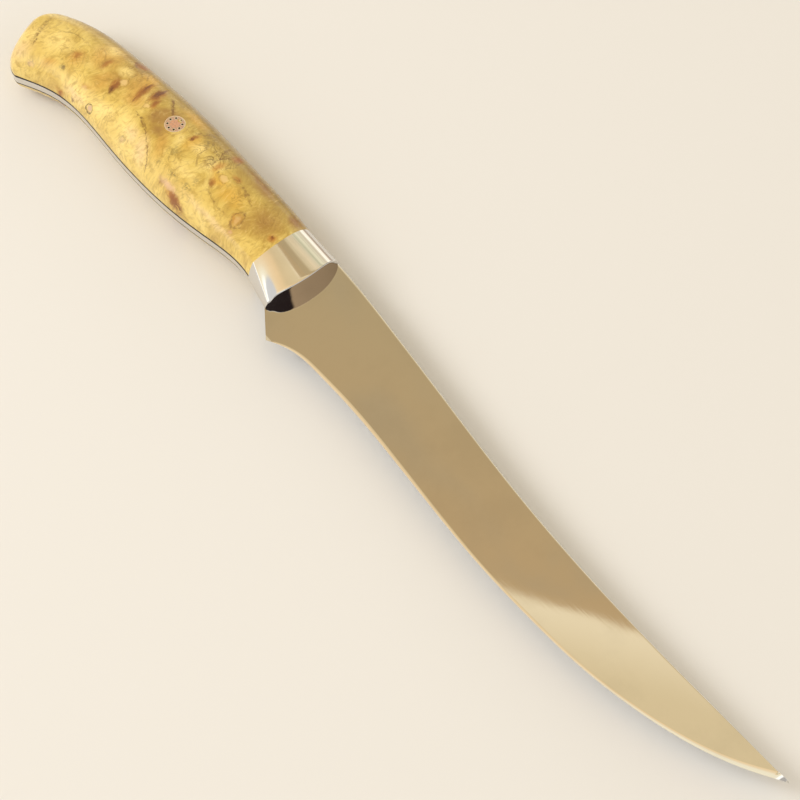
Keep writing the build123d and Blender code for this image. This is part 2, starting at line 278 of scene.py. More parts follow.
@dataclass
class Section:
    """Half outline of the handle, from its lowest point over the ridge to the spine.

    The outline has two curves: a belly curve up to the ridge and a side curve over the side. Both go
    through places given as shares of half the height and half the thickness.
    """

    belly: tuple
    spine: tuple
    thickness: float
    profile: np.ndarray
    crispness: float
    belly_angle: float = 33.0
    side_angle: float = 79.0

    def outline(self, belly_steps: int, side_steps: int, side_knots: np.ndarray) -> np.ndarray:
        """Points of the half outline, with a place exactly on the ridge.

        Args:
            belly_steps: steps from the lowest point to the ridge.
            side_steps: steps from the ridge to the spine.
            side_knots: parameters of the side curve's places, from 0 at the ridge to 0.5 at the spine.

        Returns:
            Rows of knife places.
        """
        belly, spine = np.array(self.belly), np.array(self.spine)
        up = (spine - belly) / np.linalg.norm(spine - belly)
        half_height = np.linalg.norm(spine - belly) / 2
        near = self.profile * (half_height, self.thickness / 2)
        mean = (self.belly_angle + self.side_angle) / 2
        fold = self.crispness * (self.side_angle - self.belly_angle) / 2
        belly_turn, side_turn = math.radians(mean - fold), math.radians(mean + fold)
        lowest = np.array([-half_height, 0])
        belly_speed = np.linalg.norm(near[0] - lowest) / 0.5
        side_speed = np.linalg.norm(near[1] - near[0]) / side_knots[1]
        belly_slope = belly_speed * np.array([math.sin(belly_turn), math.cos(belly_turn)])
        side_slope = side_speed * np.array([math.sin(side_turn), math.cos(side_turn)])
        turned = np.array([-1, 1])
        under = np.array([near[0] * (1, -1), lowest, near[0]])
        under_knots = np.array([0, 0.5, 1])
        under_slopes = slopes_through(under_knots, under, belly_slope * turned, belly_slope)
        belly_part = curve_at(under_knots, under, under_slopes, np.linspace(0.5, 1, belly_steps + 1))
        around = np.concatenate([near, near[-2::-1] * (1, -1)])
        around_knots = np.concatenate([side_knots, 1 - side_knots[-2::-1]])
        around_slopes = slopes_through(around_knots, around, side_slope, side_slope * turned)
        side_part = curve_at(around_knots, around, around_slopes, np.linspace(0, 0.5, side_steps + 1))
        flat = np.concatenate([belly_part, side_part[1:]])
        middle = (belly + spine) / 2
        across = middle + flat[:, :1] * up
        return np.concatenate([across, flat[:, 1:]], axis=1)


@dataclass
class ButtEnd:
    """Rounded butt: an arc with rounded corners turned about a line inside the handle."""

    belly: tuple
    spine: tuple
    belly_before: tuple
    spine_before: tuple
    inset: float = 1.4
    arc_radius: float = 41.0
    pillow_radius: float = 12.0
    corner_radius: float = 8.0
    side_gap: float = 0.6
    crown_share: float = 0.09

    def __post_init__(self) -> None:
        """Finds the line across the butt, the outward direction and the rounded outline."""
        belly, spine = np.array(self.belly), np.array(self.spine)
        self.middle = (belly + spine) / 2
        self.half = np.linalg.norm(spine - belly) / 2
        self.up = (spine - belly) / (2 * self.half)
        self.out = np.array([-self.up[1], self.up[0]])
        self.axis_out = -self.inset - self.pillow_radius
        self.crown = self.crown_share * 2 * self.half
        self.centre = np.array([self.crown, -self.inset - self.arc_radius])
        self.sides = [self._side(belly, self.belly_before, -1), self._side(spine, self.spine_before, 1)]

    def local(self, places: np.ndarray) -> np.ndarray:
        """Knife places as places up the butt line and out of it."""
        moved = places - self.middle
        return np.stack([moved @ self.up, moved @ self.out], axis=-1)

    def _side(self, end: np.ndarray, before: tuple, sign: int) -> tuple:
        """Corner circle between one side line and the bow.

        Args:
            end: where the side line meets the butt line.
            before: a place further in on the side line.
            sign: 1 at the spine and -1 at the belly.

        Returns:
            The side line's foot and normal, and the corner circle's centre.
        """
        start, stop = self.local(np.array(before)), self.local(end)
        along = (stop - start) / np.linalg.norm(stop - start)
        normal = np.array([along[1], -along[0]])
        normal = normal * np.sign(normal[0] * sign)
        foot = stop + normal * self.side_gap
        inner = foot - normal * self.corner_radius
        reach = self.arc_radius - self.corner_radius
        to_centre = inner - self.centre
        b = to_centre @ along
        travel = -b + math.sqrt(b * b - to_centre @ to_centre + reach * reach)
        return foot, normal, inner + along * travel

    def profile(self, up: np.ndarray) -> np.ndarray:
        """How far out the butt reaches in the middle plane, at each place up the butt line.

        The bow is an arc. Near each side its corner circle takes over, and beyond that the side line.
        """
        fall = np.clip(self.arc_radius**2 - (up - self.centre[0]) ** 2, 0, None)
        bow = self.centre[1] + np.sqrt(fall)
        reach = bow
        for (foot, normal, corner), sign in zip(self.sides, (-1, 1)):
            to_corner = corner - self.centre
            bow_end = self.centre[0] + to_corner[0] * self.arc_radius / np.linalg.norm(to_corner)
            side_end = (corner + normal * self.corner_radius)[0]
            past_bow = (up - bow_end) * sign > 0
            past_corner = (up - side_end) * sign > 0
            drop = np.clip(self.corner_radius**2 - (up - corner[0]) ** 2, 0, None)
            reach = np.where(past_bow, corner[1] + np.sqrt(drop), reach)
            line = foot[1] - (up - foot[0]) * normal[0] / normal[1]
            reach = np.where(past_corner, line, reach)
        return reach

    def reach(self, up: np.ndarray, side: np.ndarray) -> np.ndarray:
        """How far out the butt reaches at places up the butt line and away from the middle plane."""
        radius = np.clip(self.profile(up) - self.axis_out, 0, None)
        return self.axis_out + np.sqrt(np.clip(radius**2 - side**2, 0, None))

    def places(self, up: np.ndarray, side: np.ndarray) -> np.ndarray:
        """Knife places on the butt at places up the butt line and away from the middle plane."""
        out = self.reach(up, side)
        flat = self.middle + up[..., None] * self.up + out[..., None] * self.out
        return np.concatenate([flat, side[..., None]], axis=-1)


@dataclass
class HandleShape:
    """The whole handle's surface, which tang, liners and scales share."""

    length: float = 119.65
    height: float = 28.4
    thickness: float = 17.8
    ridge_fade_share: float = 0.285
    palm_crispness: float = 0.1
    joint_profile: tuple = (
        (-0.78, 0.84), (-0.45, 0.94), (0.00, 1.00), (0.45, 0.972), (0.75, 0.83), (0.94, 0.56), (1.00, 0.00)
    )
    palm_profile: tuple = (
        (-0.80, 0.72), (-0.50, 0.945), (0.00, 1.00), (0.42, 0.96), (0.74, 0.79), (0.93, 0.47), (1.00, 0.00)
    )
    rib_shares: tuple = (
        (0.0000, -0.391, 0.0000, 0.408, 0.798),
        (0.0585, -0.371, 0.0585, 0.435, 0.826),
        (0.1670, -0.426, 0.1670, 0.460, 0.888),
        (0.2840, -0.491, 0.2840, 0.479, 0.949),
        (0.4010, -0.514, 0.4010, 0.489, 0.989),
        (0.5180, -0.503, 0.5180, 0.479, 1.000),
        (0.6350, -0.470, 0.6350, 0.447, 0.978),
        (0.7355, -0.472, 0.7440, 0.412, 0.949),
        (0.8060, -0.532, 0.8520, 0.352, 0.933),
        (0.8650, -0.630, 0.9405, 0.226, 0.933),
        (1.0530, -0.940, 1.0530, -0.160, 0.921),
    )
    butt_line_shares: tuple = ((0.949, -0.768), (1.021, -0.130))
    belly_steps: int = 120
    side_steps: int = 520
    run_steps: int = 640

    def __post_init__(self) -> None:
        """Works out the ribs' outlines and the butt."""
        self.side_knots = self.shared_knots()
        detail = (self.belly_steps, self.side_steps, self.side_knots)
        self.ribs = np.array([self.section(share).outline(*detail) for share in self.rib_shares])
        belly, spine = [self.place(*share) for share in self.butt_line_shares]
        before = self.rib_shares[-2]
        self.butt = ButtEnd(belly, spine, self.place(*before[:2]), self.place(*before[2:4]))

    def place(self, along_share: float, up_share: float) -> tuple:
        """A knife place from shares of the handle's length and height."""
        return -along_share * self.length, up_share * self.height

    def shared_knots(self) -> np.ndarray:
        """Side curve parameters, which follow the distances round the palm profile."""
        near = np.array(self.palm_profile)
        around = np.concatenate([near, near[-2::-1] * (1, -1)])
        return chord_knots(around)[: len(near)]

    def section(self, share: tuple) -> Section:
        """The section of one rib, whose ridge fades into the rounded palm."""
        faded = min(share[0] / self.ridge_fade_share, 1)
        profile = np.array(self.joint_profile) * (1 - faded) + np.array(self.palm_profile) * faded
        crispness = 1 - faded * (1 - self.palm_crispness)
        thickness = share[4] * self.thickness
        return Section(self.place(*share[:2]), self.place(*share[2:4]), thickness, profile, crispness)

    def across(self, ribs: np.ndarray, floor: float, belly_columns: int, side_columns: int) -> np.ndarray:
        """Columns round every rib from the floor height over the ridge and back down to it.

        Args:
            ribs: rows of dense outline points.
            floor: height over the middle plane where the columns start and end.
            belly_columns: columns up to the ridge.
            side_columns: columns past the ridge.

        Returns:
            Rows and columns of knife places.
        """
        heights = ribs[:, :, HEIGHT].T
        ridge = self.belly_steps
        start = crossing_place(heights[: ridge + 1] - floor) if floor > 0 else np.zeros(len(ribs))
        back = crossing_place(heights[:ridge:-1] - floor) if floor > 0 else np.zeros(len(ribs))
        stop = ribs.shape[1] - 1 - back
        belly_share = np.linspace(0, 1, belly_columns + 1)[:, None]
        side_share = spread(side_columns)[1:, None]
        belly_places = start + (ridge - start) * belly_share
        side_places = ridge + (stop - ridge) * side_share
        places = np.concatenate([belly_places, side_places])
        columns = take_between(np.swapaxes(ribs, 0, 1), places)
        return np.swapaxes(columns, 0, 1)

    def edge_path(self, level: float, at_spine: bool, steps: int) -> np.ndarray:
        """Line along the belly or the spine at a height over the middle plane, from joint to butt.

        Args:
            level: height over the middle plane, or below it when negative.
            at_spine: whether the line runs along the spine.
            steps: steps along the line.

        Returns:
            Rows of knife places.
        """
        ribs = self.level_points(self.ribs, level, at_spine)
        return self.run_to_butt(ribs[:, None], np.linspace(0, 1, steps + 1))[:, 0]

    def level_points(self, ribs: np.ndarray, level: float, at_spine: bool) -> np.ndarray:
        """Point of each rib at a height over the middle plane, on its belly or on its spine."""
        heights = ribs[:, :, HEIGHT].T
        ridge = self.belly_steps
        height = abs(level)
        if at_spine:
            back = crossing_place(heights[:ridge:-1] - height) if height > 0 else np.zeros(len(ribs))
            place = ribs.shape[1] - 1 - back
        else:
            place = crossing_place(heights[: ridge + 1] - height) if height > 0 else np.zeros(len(ribs))
        found = take_between(np.swapaxes(ribs, 0, 1), place[None])[0]
        return found * (1, 1, -1 if level < 0 else 1)

    def run_to_butt(self, columns: np.ndarray, shares: np.ndarray) -> np.ndarray:
        """Smooth rows from rib to rib, cut off where each column leaves the rounded butt.

        Args:
            columns: rib points, rows along the handle and columns round it.
            shares: shares of the way from the joint to the butt, one for each wanted row.

        Returns:
            Rows and columns of knife places.
        """
        knots = chord_knots(columns.mean(axis=1))
        slopes = slopes_through(knots, columns)
        dense = curve_at(knots, columns, slopes, np.linspace(0, 1, self.run_steps + 1))
        local = self.butt.local(dense[..., :2])
        excess = local[..., 1] - self.butt.reach(local[..., 0], dense[..., 2])
        stop = crossing_place(excess)
        return take_between(dense, shares[:, None] * stop)


def bent_rows(start: np.ndarray, edge: np.ndarray, stop: np.ndarray, rows: int) -> np.ndarray:
    """Rows of a rounded rim that leaves at start, heads for the edge and ends at stop."""
    bend = np.linspace(0, 1, rows + 1)[:, None, None]
    return start * (1 - bend) ** 2 + 2 * edge * bend * (1 - bend) + stop * bend**2


def spread(count: int, gather: float = 0.35) -> np.ndarray:
    """Shares from 0 to 1 that lie closer together near both ends."""
    even = np.linspace(0, 1, count + 1)
    return even - gather * np.sin(2 * np.pi * even) / (2 * np.pi)


def eased(points: np.ndarray, places: slice, times: int) -> np.ndarray:
    """Rounds a crease: each column in places moves to the mean of itself and its two neighbours.

    Args:
        points: rows and columns of knife places.
        places: columns that may move.
        times: how often the mean is taken.

    Returns:
        The rounded grid.
    """
    result = points.copy()
    for _ in range(times):
        middle = result[:, places]
        before = result[:, places.start - 1 : places.stop - 1]
        after = result[:, places.start + 1 : places.stop + 1]
        result[:, places] = (before + 2 * middle + after) / 4
    return result


@dataclass
class WoodenScale:
    """One wooden scale: the handle's surface outside a liner, with a rounded butt edge."""

    shape: HandleShape
    side: Side
    floor: float = 1.8
    belly_columns: int = 24
    side_columns: int = 112
    rows: int = 150
    rim: float = 1.5
    rim_rows: int = 6
    cap_rows: int = 16

    def surface(self) -> np.ndarray:
        """Rows and columns of the right scale's side surface, from the joint to the butt."""
        ribs = self.shape.across(self.shape.ribs, self.floor, self.belly_columns, self.side_columns)
        return self.shape.run_to_butt(ribs, np.linspace(0, 1, self.rows + 1))

    def mesh(self) -> Mesh:
        """Side surface, rounded rim, butt face and flat inner faces of the scale."""
        surface = eased(self.surface(), slice(self.belly_columns - 3, self.belly_columns + 4), 3)
        edge = surface[-1]
        rim, cap = self.rim_and_cap(surface, edge)
        body = np.concatenate([surface[:-2], rim, cap])
        return Mesh.half(body, self.side)

    def rim_and_cap(self, surface: np.ndarray, edge: np.ndarray) -> tuple:
        """Rounded rim, a bend from the side over the edge, and the butt face down to the liner.

        Args:
            surface: side surface up to the butt.
            edge: its last row, on the butt.

        Returns:
            Rows of the rim and rows of the butt face.
        """
        back = surface[-3] - edge
        start = edge + back * np.minimum(1, self.rim / np.linalg.norm(back, axis=1))[:, None]
        local = self.shape.butt.local(edge[:, :2])
        depth = np.minimum(self.rim, (edge[:, 2] - self.floor) * 0.6)
        stop = self.shape.butt.places(local[:, 0], edge[:, 2] - depth)
        rim = bent_rows(start, edge, stop, self.rim_rows)
        down = np.linspace(0, 1, self.cap_rows + 1)[1:, None]
        heights = stop[:, 2] * (1 - down) + self.floor * down
        up = np.broadcast_to(local[:, 0], heights.shape)
        return rim, self.shape.butt.places(up, heights)


@dataclass
class LevelStack:
    """A slab of the handle's outline: closed loops stacked at several heights."""

    shape: HandleShape
    heights: tuple
    steps: int = 150
    butt_steps: int = 60

    def loop(self, level: float) -> np.ndarray:
        """Outline at one height: belly from joint to butt, across the butt, and back along the spine."""
        belly = self.shape.edge_path(level, False, self.steps)
        spine = self.shape.edge_path(level, True, self.steps)
        low = self.shape.butt.local(belly[-1, :2])[0]
        high = self.shape.butt.local(spine[-1, :2])[0]
        up = low + (high - low) * spread(self.butt_steps, 0.8)
        butt = self.shape.butt.places(up, np.full_like(up, level))
        return np.concatenate([belly, butt[1:-1], spine[::-1]])

    def mesh(self) -> Mesh:
        """Wall round the loops, and a flat face at the lowest and at the highest."""
        return Mesh.stack(np.array([self.loop(level) for level in self.heights]))


@dataclass
class BolsterShape:
    """The bolster's surface: straight lines from the joint's section to the nose's section."""

    handle: HandleShape
    length: float = 14.75
    overlap: float = 0.4
    nose_belly_down: float = 14.5
    nose_spine_up: float = 11.25
    nose_thickness: float = 12.25
    front_radius: float = 36.0
    front_crown_up: float = 1.0
    line_steps: int = 160
    nose_profile: tuple = (
        (-0.95, 0.26), (-0.80, 0.62), (-0.36, 0.94), (0.30, 1.00), (0.68, 0.89), (0.92, 0.58), (1.00, 0.00)
    )

    def __post_init__(self) -> None:
        """Works out the two end sections."""
        handle = self.handle
        nose_x = self.length + self.overlap
        nose = Section(
            (nose_x, -self.nose_belly_down),
            (nose_x, self.nose_spine_up),
            self.nose_thickness,
            np.array(self.nose_profile),
            1.0,
        )
        nose_outline = nose.outline(handle.belly_steps, handle.side_steps, handle.side_knots)
        self.ribs = np.array([handle.ribs[0], nose_outline])

    def front_x(self, y: np.ndarray) -> np.ndarray:
        """The bowed front line: an arc that reaches furthest forward at its crown."""
        sideways = y - self.front_crown_up
        return self.length - self.front_radius + np.sqrt(self.front_radius**2 - sideways**2)

    def run_to_front(self, columns: np.ndarray, shares: np.ndarray) -> np.ndarray:
        """Rows from the joint to the bowed front line.

        Args:
            columns: the two sections' points, columns round the bolster.
            shares: shares of the way from the joint to the front.

        Returns:
            Rows and columns of knife places.
        """
        steps = np.linspace(0, 1, self.line_steps + 1)[:, None, None]
        dense = columns[0] * (1 - steps) + columns[1] * steps
        stop = crossing_place(dense[..., 0] - self.front_x(dense[..., 1]))
        return take_between(dense, shares[:, None] * stop)


@dataclass
class Bolster:
    """One bolster with a slightly rounded front edge."""

    shape: BolsterShape
    side: Side
    floor: float = 1.2
    wall_foot: float = 0.25
    belly_columns: int = 20
    side_columns: int = 96
    rows: int = 30
    rim: float = 0.3
    rim_rows: int = 4
    wall_rows: int = 8

    def mesh(self) -> Mesh:
        """Side surface, rounded front edge and front wall down to the blade."""
        ribs = self.shape.handle.across(self.shape.ribs, self.floor, self.belly_columns, self.side_columns)
        surface = self.shape.run_to_front(ribs, np.linspace(0, 1, self.rows + 1))
        surface = eased(surface, slice(self.belly_columns - 2, self.belly_columns + 3), 2)
        edge = surface[-1]
        back = surface[-3] - edge
        start = edge + back * (self.rim / np.linalg.norm(back, axis=1))[:, None]
        stop = edge - (0, 0, 1) * np.minimum(self.rim, (edge[:, 2:] - self.floor) * 0.7)
        rim = bent_rows(start, edge, stop, self.rim_rows)
        down = np.linspace(0, 1, self.wall_rows + 1)[1:, None, None]
        foot = stop * (1, 1, 0) + (0, 0, self.wall_foot)
        wall = stop * (1 - down) + foot * down
        body = np.concatenate([surface[:-2], rim, wall])
        return Mesh.half(body, self.side)


@dataclass
class SteelBody:
    """Blade and full tang, one piece of steel."""

    handle: HandleShape
    bolster: BolsterShape
    half_tang: float = 1.2
    blade_length: float = 207.5
    blade_height: float = 31.2
    rear_edge_half: float = 0.18
    belly_edge_half: float = 0.13
    tip_spine_thinning: float = 0.52
    bevel_half_angle: float = 17.0
    flat_length_share: float = 0.56
    spine_ease: float = 0.22
    rows: int = 420
    face_columns: int = 70
    ease_columns: int = 4
    first_x: float = 9.4
    end_gather: float = 0.12
    line_steps: int = 6000
    front_steps: int = 24
    bolster_steps: int = 20
    bevel_tries: int = 4
    spine_shares: tuple = (
        (-0.040, 0.362), (0.025, 0.345), (0.122, 0.282), (0.266, 0.169), (0.411, 0.056),
        (0.555, -0.021), (0.700, -0.056), (0.845, -0.058), (1.000, -0.051), (1.012, -0.051),
    )
    edge_shares: tuple = (
        (-0.005, -0.800), (0.028, -0.641), (0.050, -0.570), (0.080, -0.520), (0.120, -0.508),
        (0.180, -0.511), (0.290, -0.557), (0.411, -0.628), (0.507, -0.669), (0.604, -0.675),
        (0.700, -0.651), (0.790, -0.571), (0.868, -0.450), (0.941, -0.269), (1.000, -0.051), (1.035, 0.092),
    )
    heel_back_shares: tuple = ((-0.026, -0.394), (0.0275, -0.641), (0.0335, -0.668))

    def places(self, shares: tuple) -> np.ndarray:
        """Knife places from shares of the blade's length and height."""
        return np.array(shares) * (self.blade_length, self.blade_height) + (self.bolster.length, 0)

    def line_y(self, shares: tuple, x: np.ndarray) -> np.ndarray:
        """Height of the smooth line through the shares' places at each x."""
        places = self.places(shares)
        knots = chord_knots(places)
        wanted = np.linspace(0, 1, self.line_steps + 1)
        dense = curve_at(knots, places, slopes_through(knots, places), wanted)
        return np.interp(x, dense[:, 0], dense[:, 1])

    def heel_back_y(self, x: np.ndarray) -> np.ndarray:
        """Height of the heel's back at each x: an arc through three places."""
        a, b, c = self.places(self.heel_back_shares)
        rows = 2 * np.array([b - a, c - a])
        centre = np.linalg.solve(rows, [b @ b - a @ a, c @ c - a @ a])
        radius = np.linalg.norm(a - centre)
        side = np.sign(a[1] - centre[1])
        return centre[1] + side * np.sqrt(np.clip(radius**2 - (x - centre[0]) ** 2, 0, None))

    def ground_half(self, x: np.ndarray, y: np.ndarray) -> np.ndarray:
        """Half thickness left by the grind.

        It falls evenly from the spine to the edge, as a plane through three places, and past the flat
        length it bends in towards the tip along an arc.
        """
        spine = np.append(self.places(self.spine_shares)[1], self.half_tang)
        rear = np.append(self.places(self.edge_shares)[5], self.rear_edge_half)
        belly = np.append(self.places(self.edge_shares)[9], self.belly_edge_half)
        normal = np.cross(belly - rear, spine - rear)
        plane = spine[2] - ((x - spine[0]) * normal[0] + (y - spine[1]) * normal[1]) / normal[2]
        flat_x = self.bolster.length + self.flat_length_share * self.blade_length
        tip_x = self.bolster.length + self.blade_length
        radius = ((tip_x - flat_x) ** 2 + self.tip_spine_thinning**2) / (2 * self.tip_spine_thinning)
        past = np.clip(x - flat_x, 0, None)
        return np.minimum(plane - radius + np.sqrt(radius**2 - past**2), self.half_tang)

    def blade(self) -> Mesh:
        """The blade: rows across it from under the bolster to the tip, columns from edge to spine."""
        tip_x = self.bolster.length + self.blade_length
        x = self.first_x + (tip_x - self.first_x) * spread(self.rows, self.end_gather)
        heel_x = self.places(self.heel_back_shares)[1][0]
        x = np.sort(np.append(x, heel_x))
        edge = self.line_y(self.edge_shares, x)
        low = np.where(x < heel_x, self.heel_back_y(x), edge)
        top = np.maximum(self.line_y(self.spine_shares, x), low)
        slope = np.gradient(edge, x)
        rise = math.tan(math.radians(self.bevel_half_angle)) / np.sqrt(1 + slope**2)
        bevel_top = edge.copy()
        for _ in range(self.bevel_tries):
            bevel_top = edge + self.ground_half(x, bevel_top) / rise
        bevel_top = np.clip(bevel_top, low, top)
        low_half = np.clip((low - edge) * rise, 0, self.ground_half(x, low))
        ease = np.minimum(self.spine_ease, (top - bevel_top) / 2)
        face = np.linspace(0, 1, self.face_columns + 1)
        face_y = bevel_top[:, None] + (top - ease - bevel_top)[:, None] * face
        face_z = self.ground_half(x[:, None], face_y)
        turn = np.linspace(0, np.pi / 2, self.ease_columns + 1)[1:]
        ease_z = np.minimum(ease, face_z[:, -1])
        turn_y = top[:, None] - ease[:, None] * (1 - np.sin(turn))
        turn_z = face_z[:, -1:] - ease_z[:, None] * (1 - np.cos(turn))
        bevel_y = low + (bevel_top - low) * 0.5
        bevel_z = (low_half + face_z[:, 0]) / 2
        y = np.column_stack([low, bevel_y, face_y, turn_y])
        z = np.column_stack([low_half, bevel_z, face_z, turn_z])
        upper = np.stack([np.broadcast_to(x[:, None], y.shape), y, z], axis=-1)
        loops = np.concatenate([upper, upper[:, ::-1] * (1, 1, -1)], axis=1)
        return Mesh.grid(loops, closed=True).joined(Mesh.sheet(loops[0]))

    def core(self) -> Mesh:
        """The tang with the steel between the bolsters: outlines stacked at several heights."""
        levels = self.half_tang * np.array([-1, -0.5, 0, 0.5, 1])
        stack = LevelStack(self.handle, tuple(levels))
        loops = []
        for level in levels:
            belly = self.bolster_line(level, False)
            spine = self.bolster_line(level, True)
            front_y = np.linspace(spine[-1, 1], belly[-1, 1], self.front_steps + 1)[1:-1]
            front = np.column_stack([self.bolster.front_x(front_y), front_y, np.full_like(front_y, level)])
            loops.append(np.concatenate([stack.loop(level)[1:-1], spine, front, belly[::-1]]))
        return Mesh.stack(np.array(loops))

    def bolster_line(self, level: float, at_spine: bool) -> np.ndarray:
        """Line from the joint to the bolster's front at a height over the middle plane."""
        ends = self.handle.level_points(self.bolster.ribs, level, at_spine)
        shares = np.linspace(0, 1, self.bolster_steps + 1)
        return self.bolster.run_to_front(ends[:, None], shares)[:, 0]

    def mesh(self) -> Mesh:
        """Blade and tang together."""
        return self.core().joined(self.blade())


@dataclass
class MosaicPin:
    """Ends of the mosaic pin: tube, ring of small tubes, bundle of rods and resin."""

    scale_surface: np.ndarray
    centre: tuple
    diameter: float = 6.35
    wall: float = 0.35
    film: float = 0.03
    ring_tube_diameter: float = 1.16
    ring_tube_bore: float = 0.64
    ring_tube_count: int = 8
    outer_rod_count: int = 6
    bundle_ratio: float = 1.5
    depth: float = 0.5
    proud: float = 0.05
    fit_share: float = 0.63
    turn_steps: int = 40
    edge_ease: float = 0.04
    ease_share: float = 0.1

    def __post_init__(self) -> None:
        """Fits the wood's surface round the pin: height is a full cubic in x and y."""
        offset = self.scale_surface[..., :2] - np.array(self.centre)
        near = np.linalg.norm(offset, axis=-1) < self.diameter * self.fit_share
        x, y = offset[near].T
        self.fit = np.linalg.lstsq(self.terms(x, y), self.scale_surface[near][:, 2], rcond=None)[0]
        self.inner = self.diameter / 2 - self.wall
        self.ring_radius = self.inner - self.film - self.ring_tube_diameter / 2
        self.rod_diameter = (self.inner - self.ring_tube_diameter - self.film * 3) / self.bundle_ratio

    def terms(self, x: np.ndarray, y: np.ndarray) -> np.ndarray:
        """All products of powers of x and y up to the third power."""
        powers = [(i, j) for i in range(4) for j in range(4 - i)]
        return np.stack([x**i * y**j for i, j in powers], axis=-1)

    def on_wood(self, x: np.ndarray, y: np.ndarray) -> np.ndarray:
        """Height of the wood's surface at places counted from the pin's centre."""
        return self.terms(x, y) @ self.fit

    def around(self, count: int, radius: float) -> np.ndarray:
        """Places evenly spaced round the pin's centre."""
        turn = 2 * np.pi * np.arange(count) / count
        return radius * np.column_stack([np.cos(turn), np.sin(turn)])

    def disc(self, place: np.ndarray, radius: float, lift: float, bore: float = 0.0) -> Mesh:
        """A round cap on the wood's surface with a short wall below it, turned about its own middle.

        Args:
            place: the disc's middle, counted from the pin's centre.
            radius: its outer radius.
            lift: height over the wood.
            bore: radius of its bore, or 0 for none.

        Returns:
            The cap on both sides of the handle.
        """
        turn = 2 * np.pi * np.arange(self.turn_steps) / self.turn_steps
        ease = min(self.edge_ease, radius * self.ease_share)
        radii = np.array([radius, radius, radius - ease, bore + ease if bore else 0, bore, bore])
        lifts = np.array([-self.depth, lift - ease, lift, lift, lift - ease, -self.depth])
        if not bore:
            radii, lifts = radii[:4], lifts[:4]
        x = place[0] + radii[:, None] * np.cos(turn)
        y = place[1] + radii[:, None] * np.sin(turn)
        z = self.on_wood(x, y) + lifts[:, None]
        points = np.stack([x + self.centre[0], y + self.centre[1], z], axis=-1)
        if bore:
            points = np.concatenate([points, points[:1]])
        cap = Mesh.grid(points, closed=True)
        if not bore:
            cap = cap.joined(Mesh.sheet(points[0]))
        return cap.joined(cap.mirrored())

    def several(self, places: np.ndarray, radius: float, lift: float, bore: float = 0.0) -> Mesh:
        """The same disc at several places."""
        discs = [self.disc(place, radius, lift, bore) for place in places]
        return discs[0].joined(*discs[1:])

    def tube(self) -> Mesh:
        """The outer tube."""
        return self.disc(np.zeros(2), self.diameter / 2, self.proud, self.inner)

    def ring_tubes(self) -> Mesh:
        """The ring of small tubes."""
        places = self.around(self.ring_tube_count, self.ring_radius)
        return self.several(places, self.ring_tube_diameter / 2, self.proud, self.ring_tube_bore / 2)

    def rods(self) -> Mesh:
        """The middle rod and those round it."""
        outer = self.around(self.outer_rod_count, self.rod_diameter + self.film)
        return self.several(np.concatenate([[[0, 0]], outer]), self.rod_diameter / 2, self.proud)

    def resin(self) -> Mesh:
        """The resin, a little lower than the metal."""
        return self.disc(np.zeros(2), self.inner + self.wall / 3, self.proud * 0.7)


def shade(red: float, green: float, blue: float) -> tuple:
    """A colour for a shader from its values on a screen, 0 to 255."""
    values = np.array([red, green, blue]) / 255
    linear = np.where(values <= 0.04045, values / 12.92, ((values + 0.055) / 1.055) ** 2.4)
    return (*linear.tolist(), 1.0)


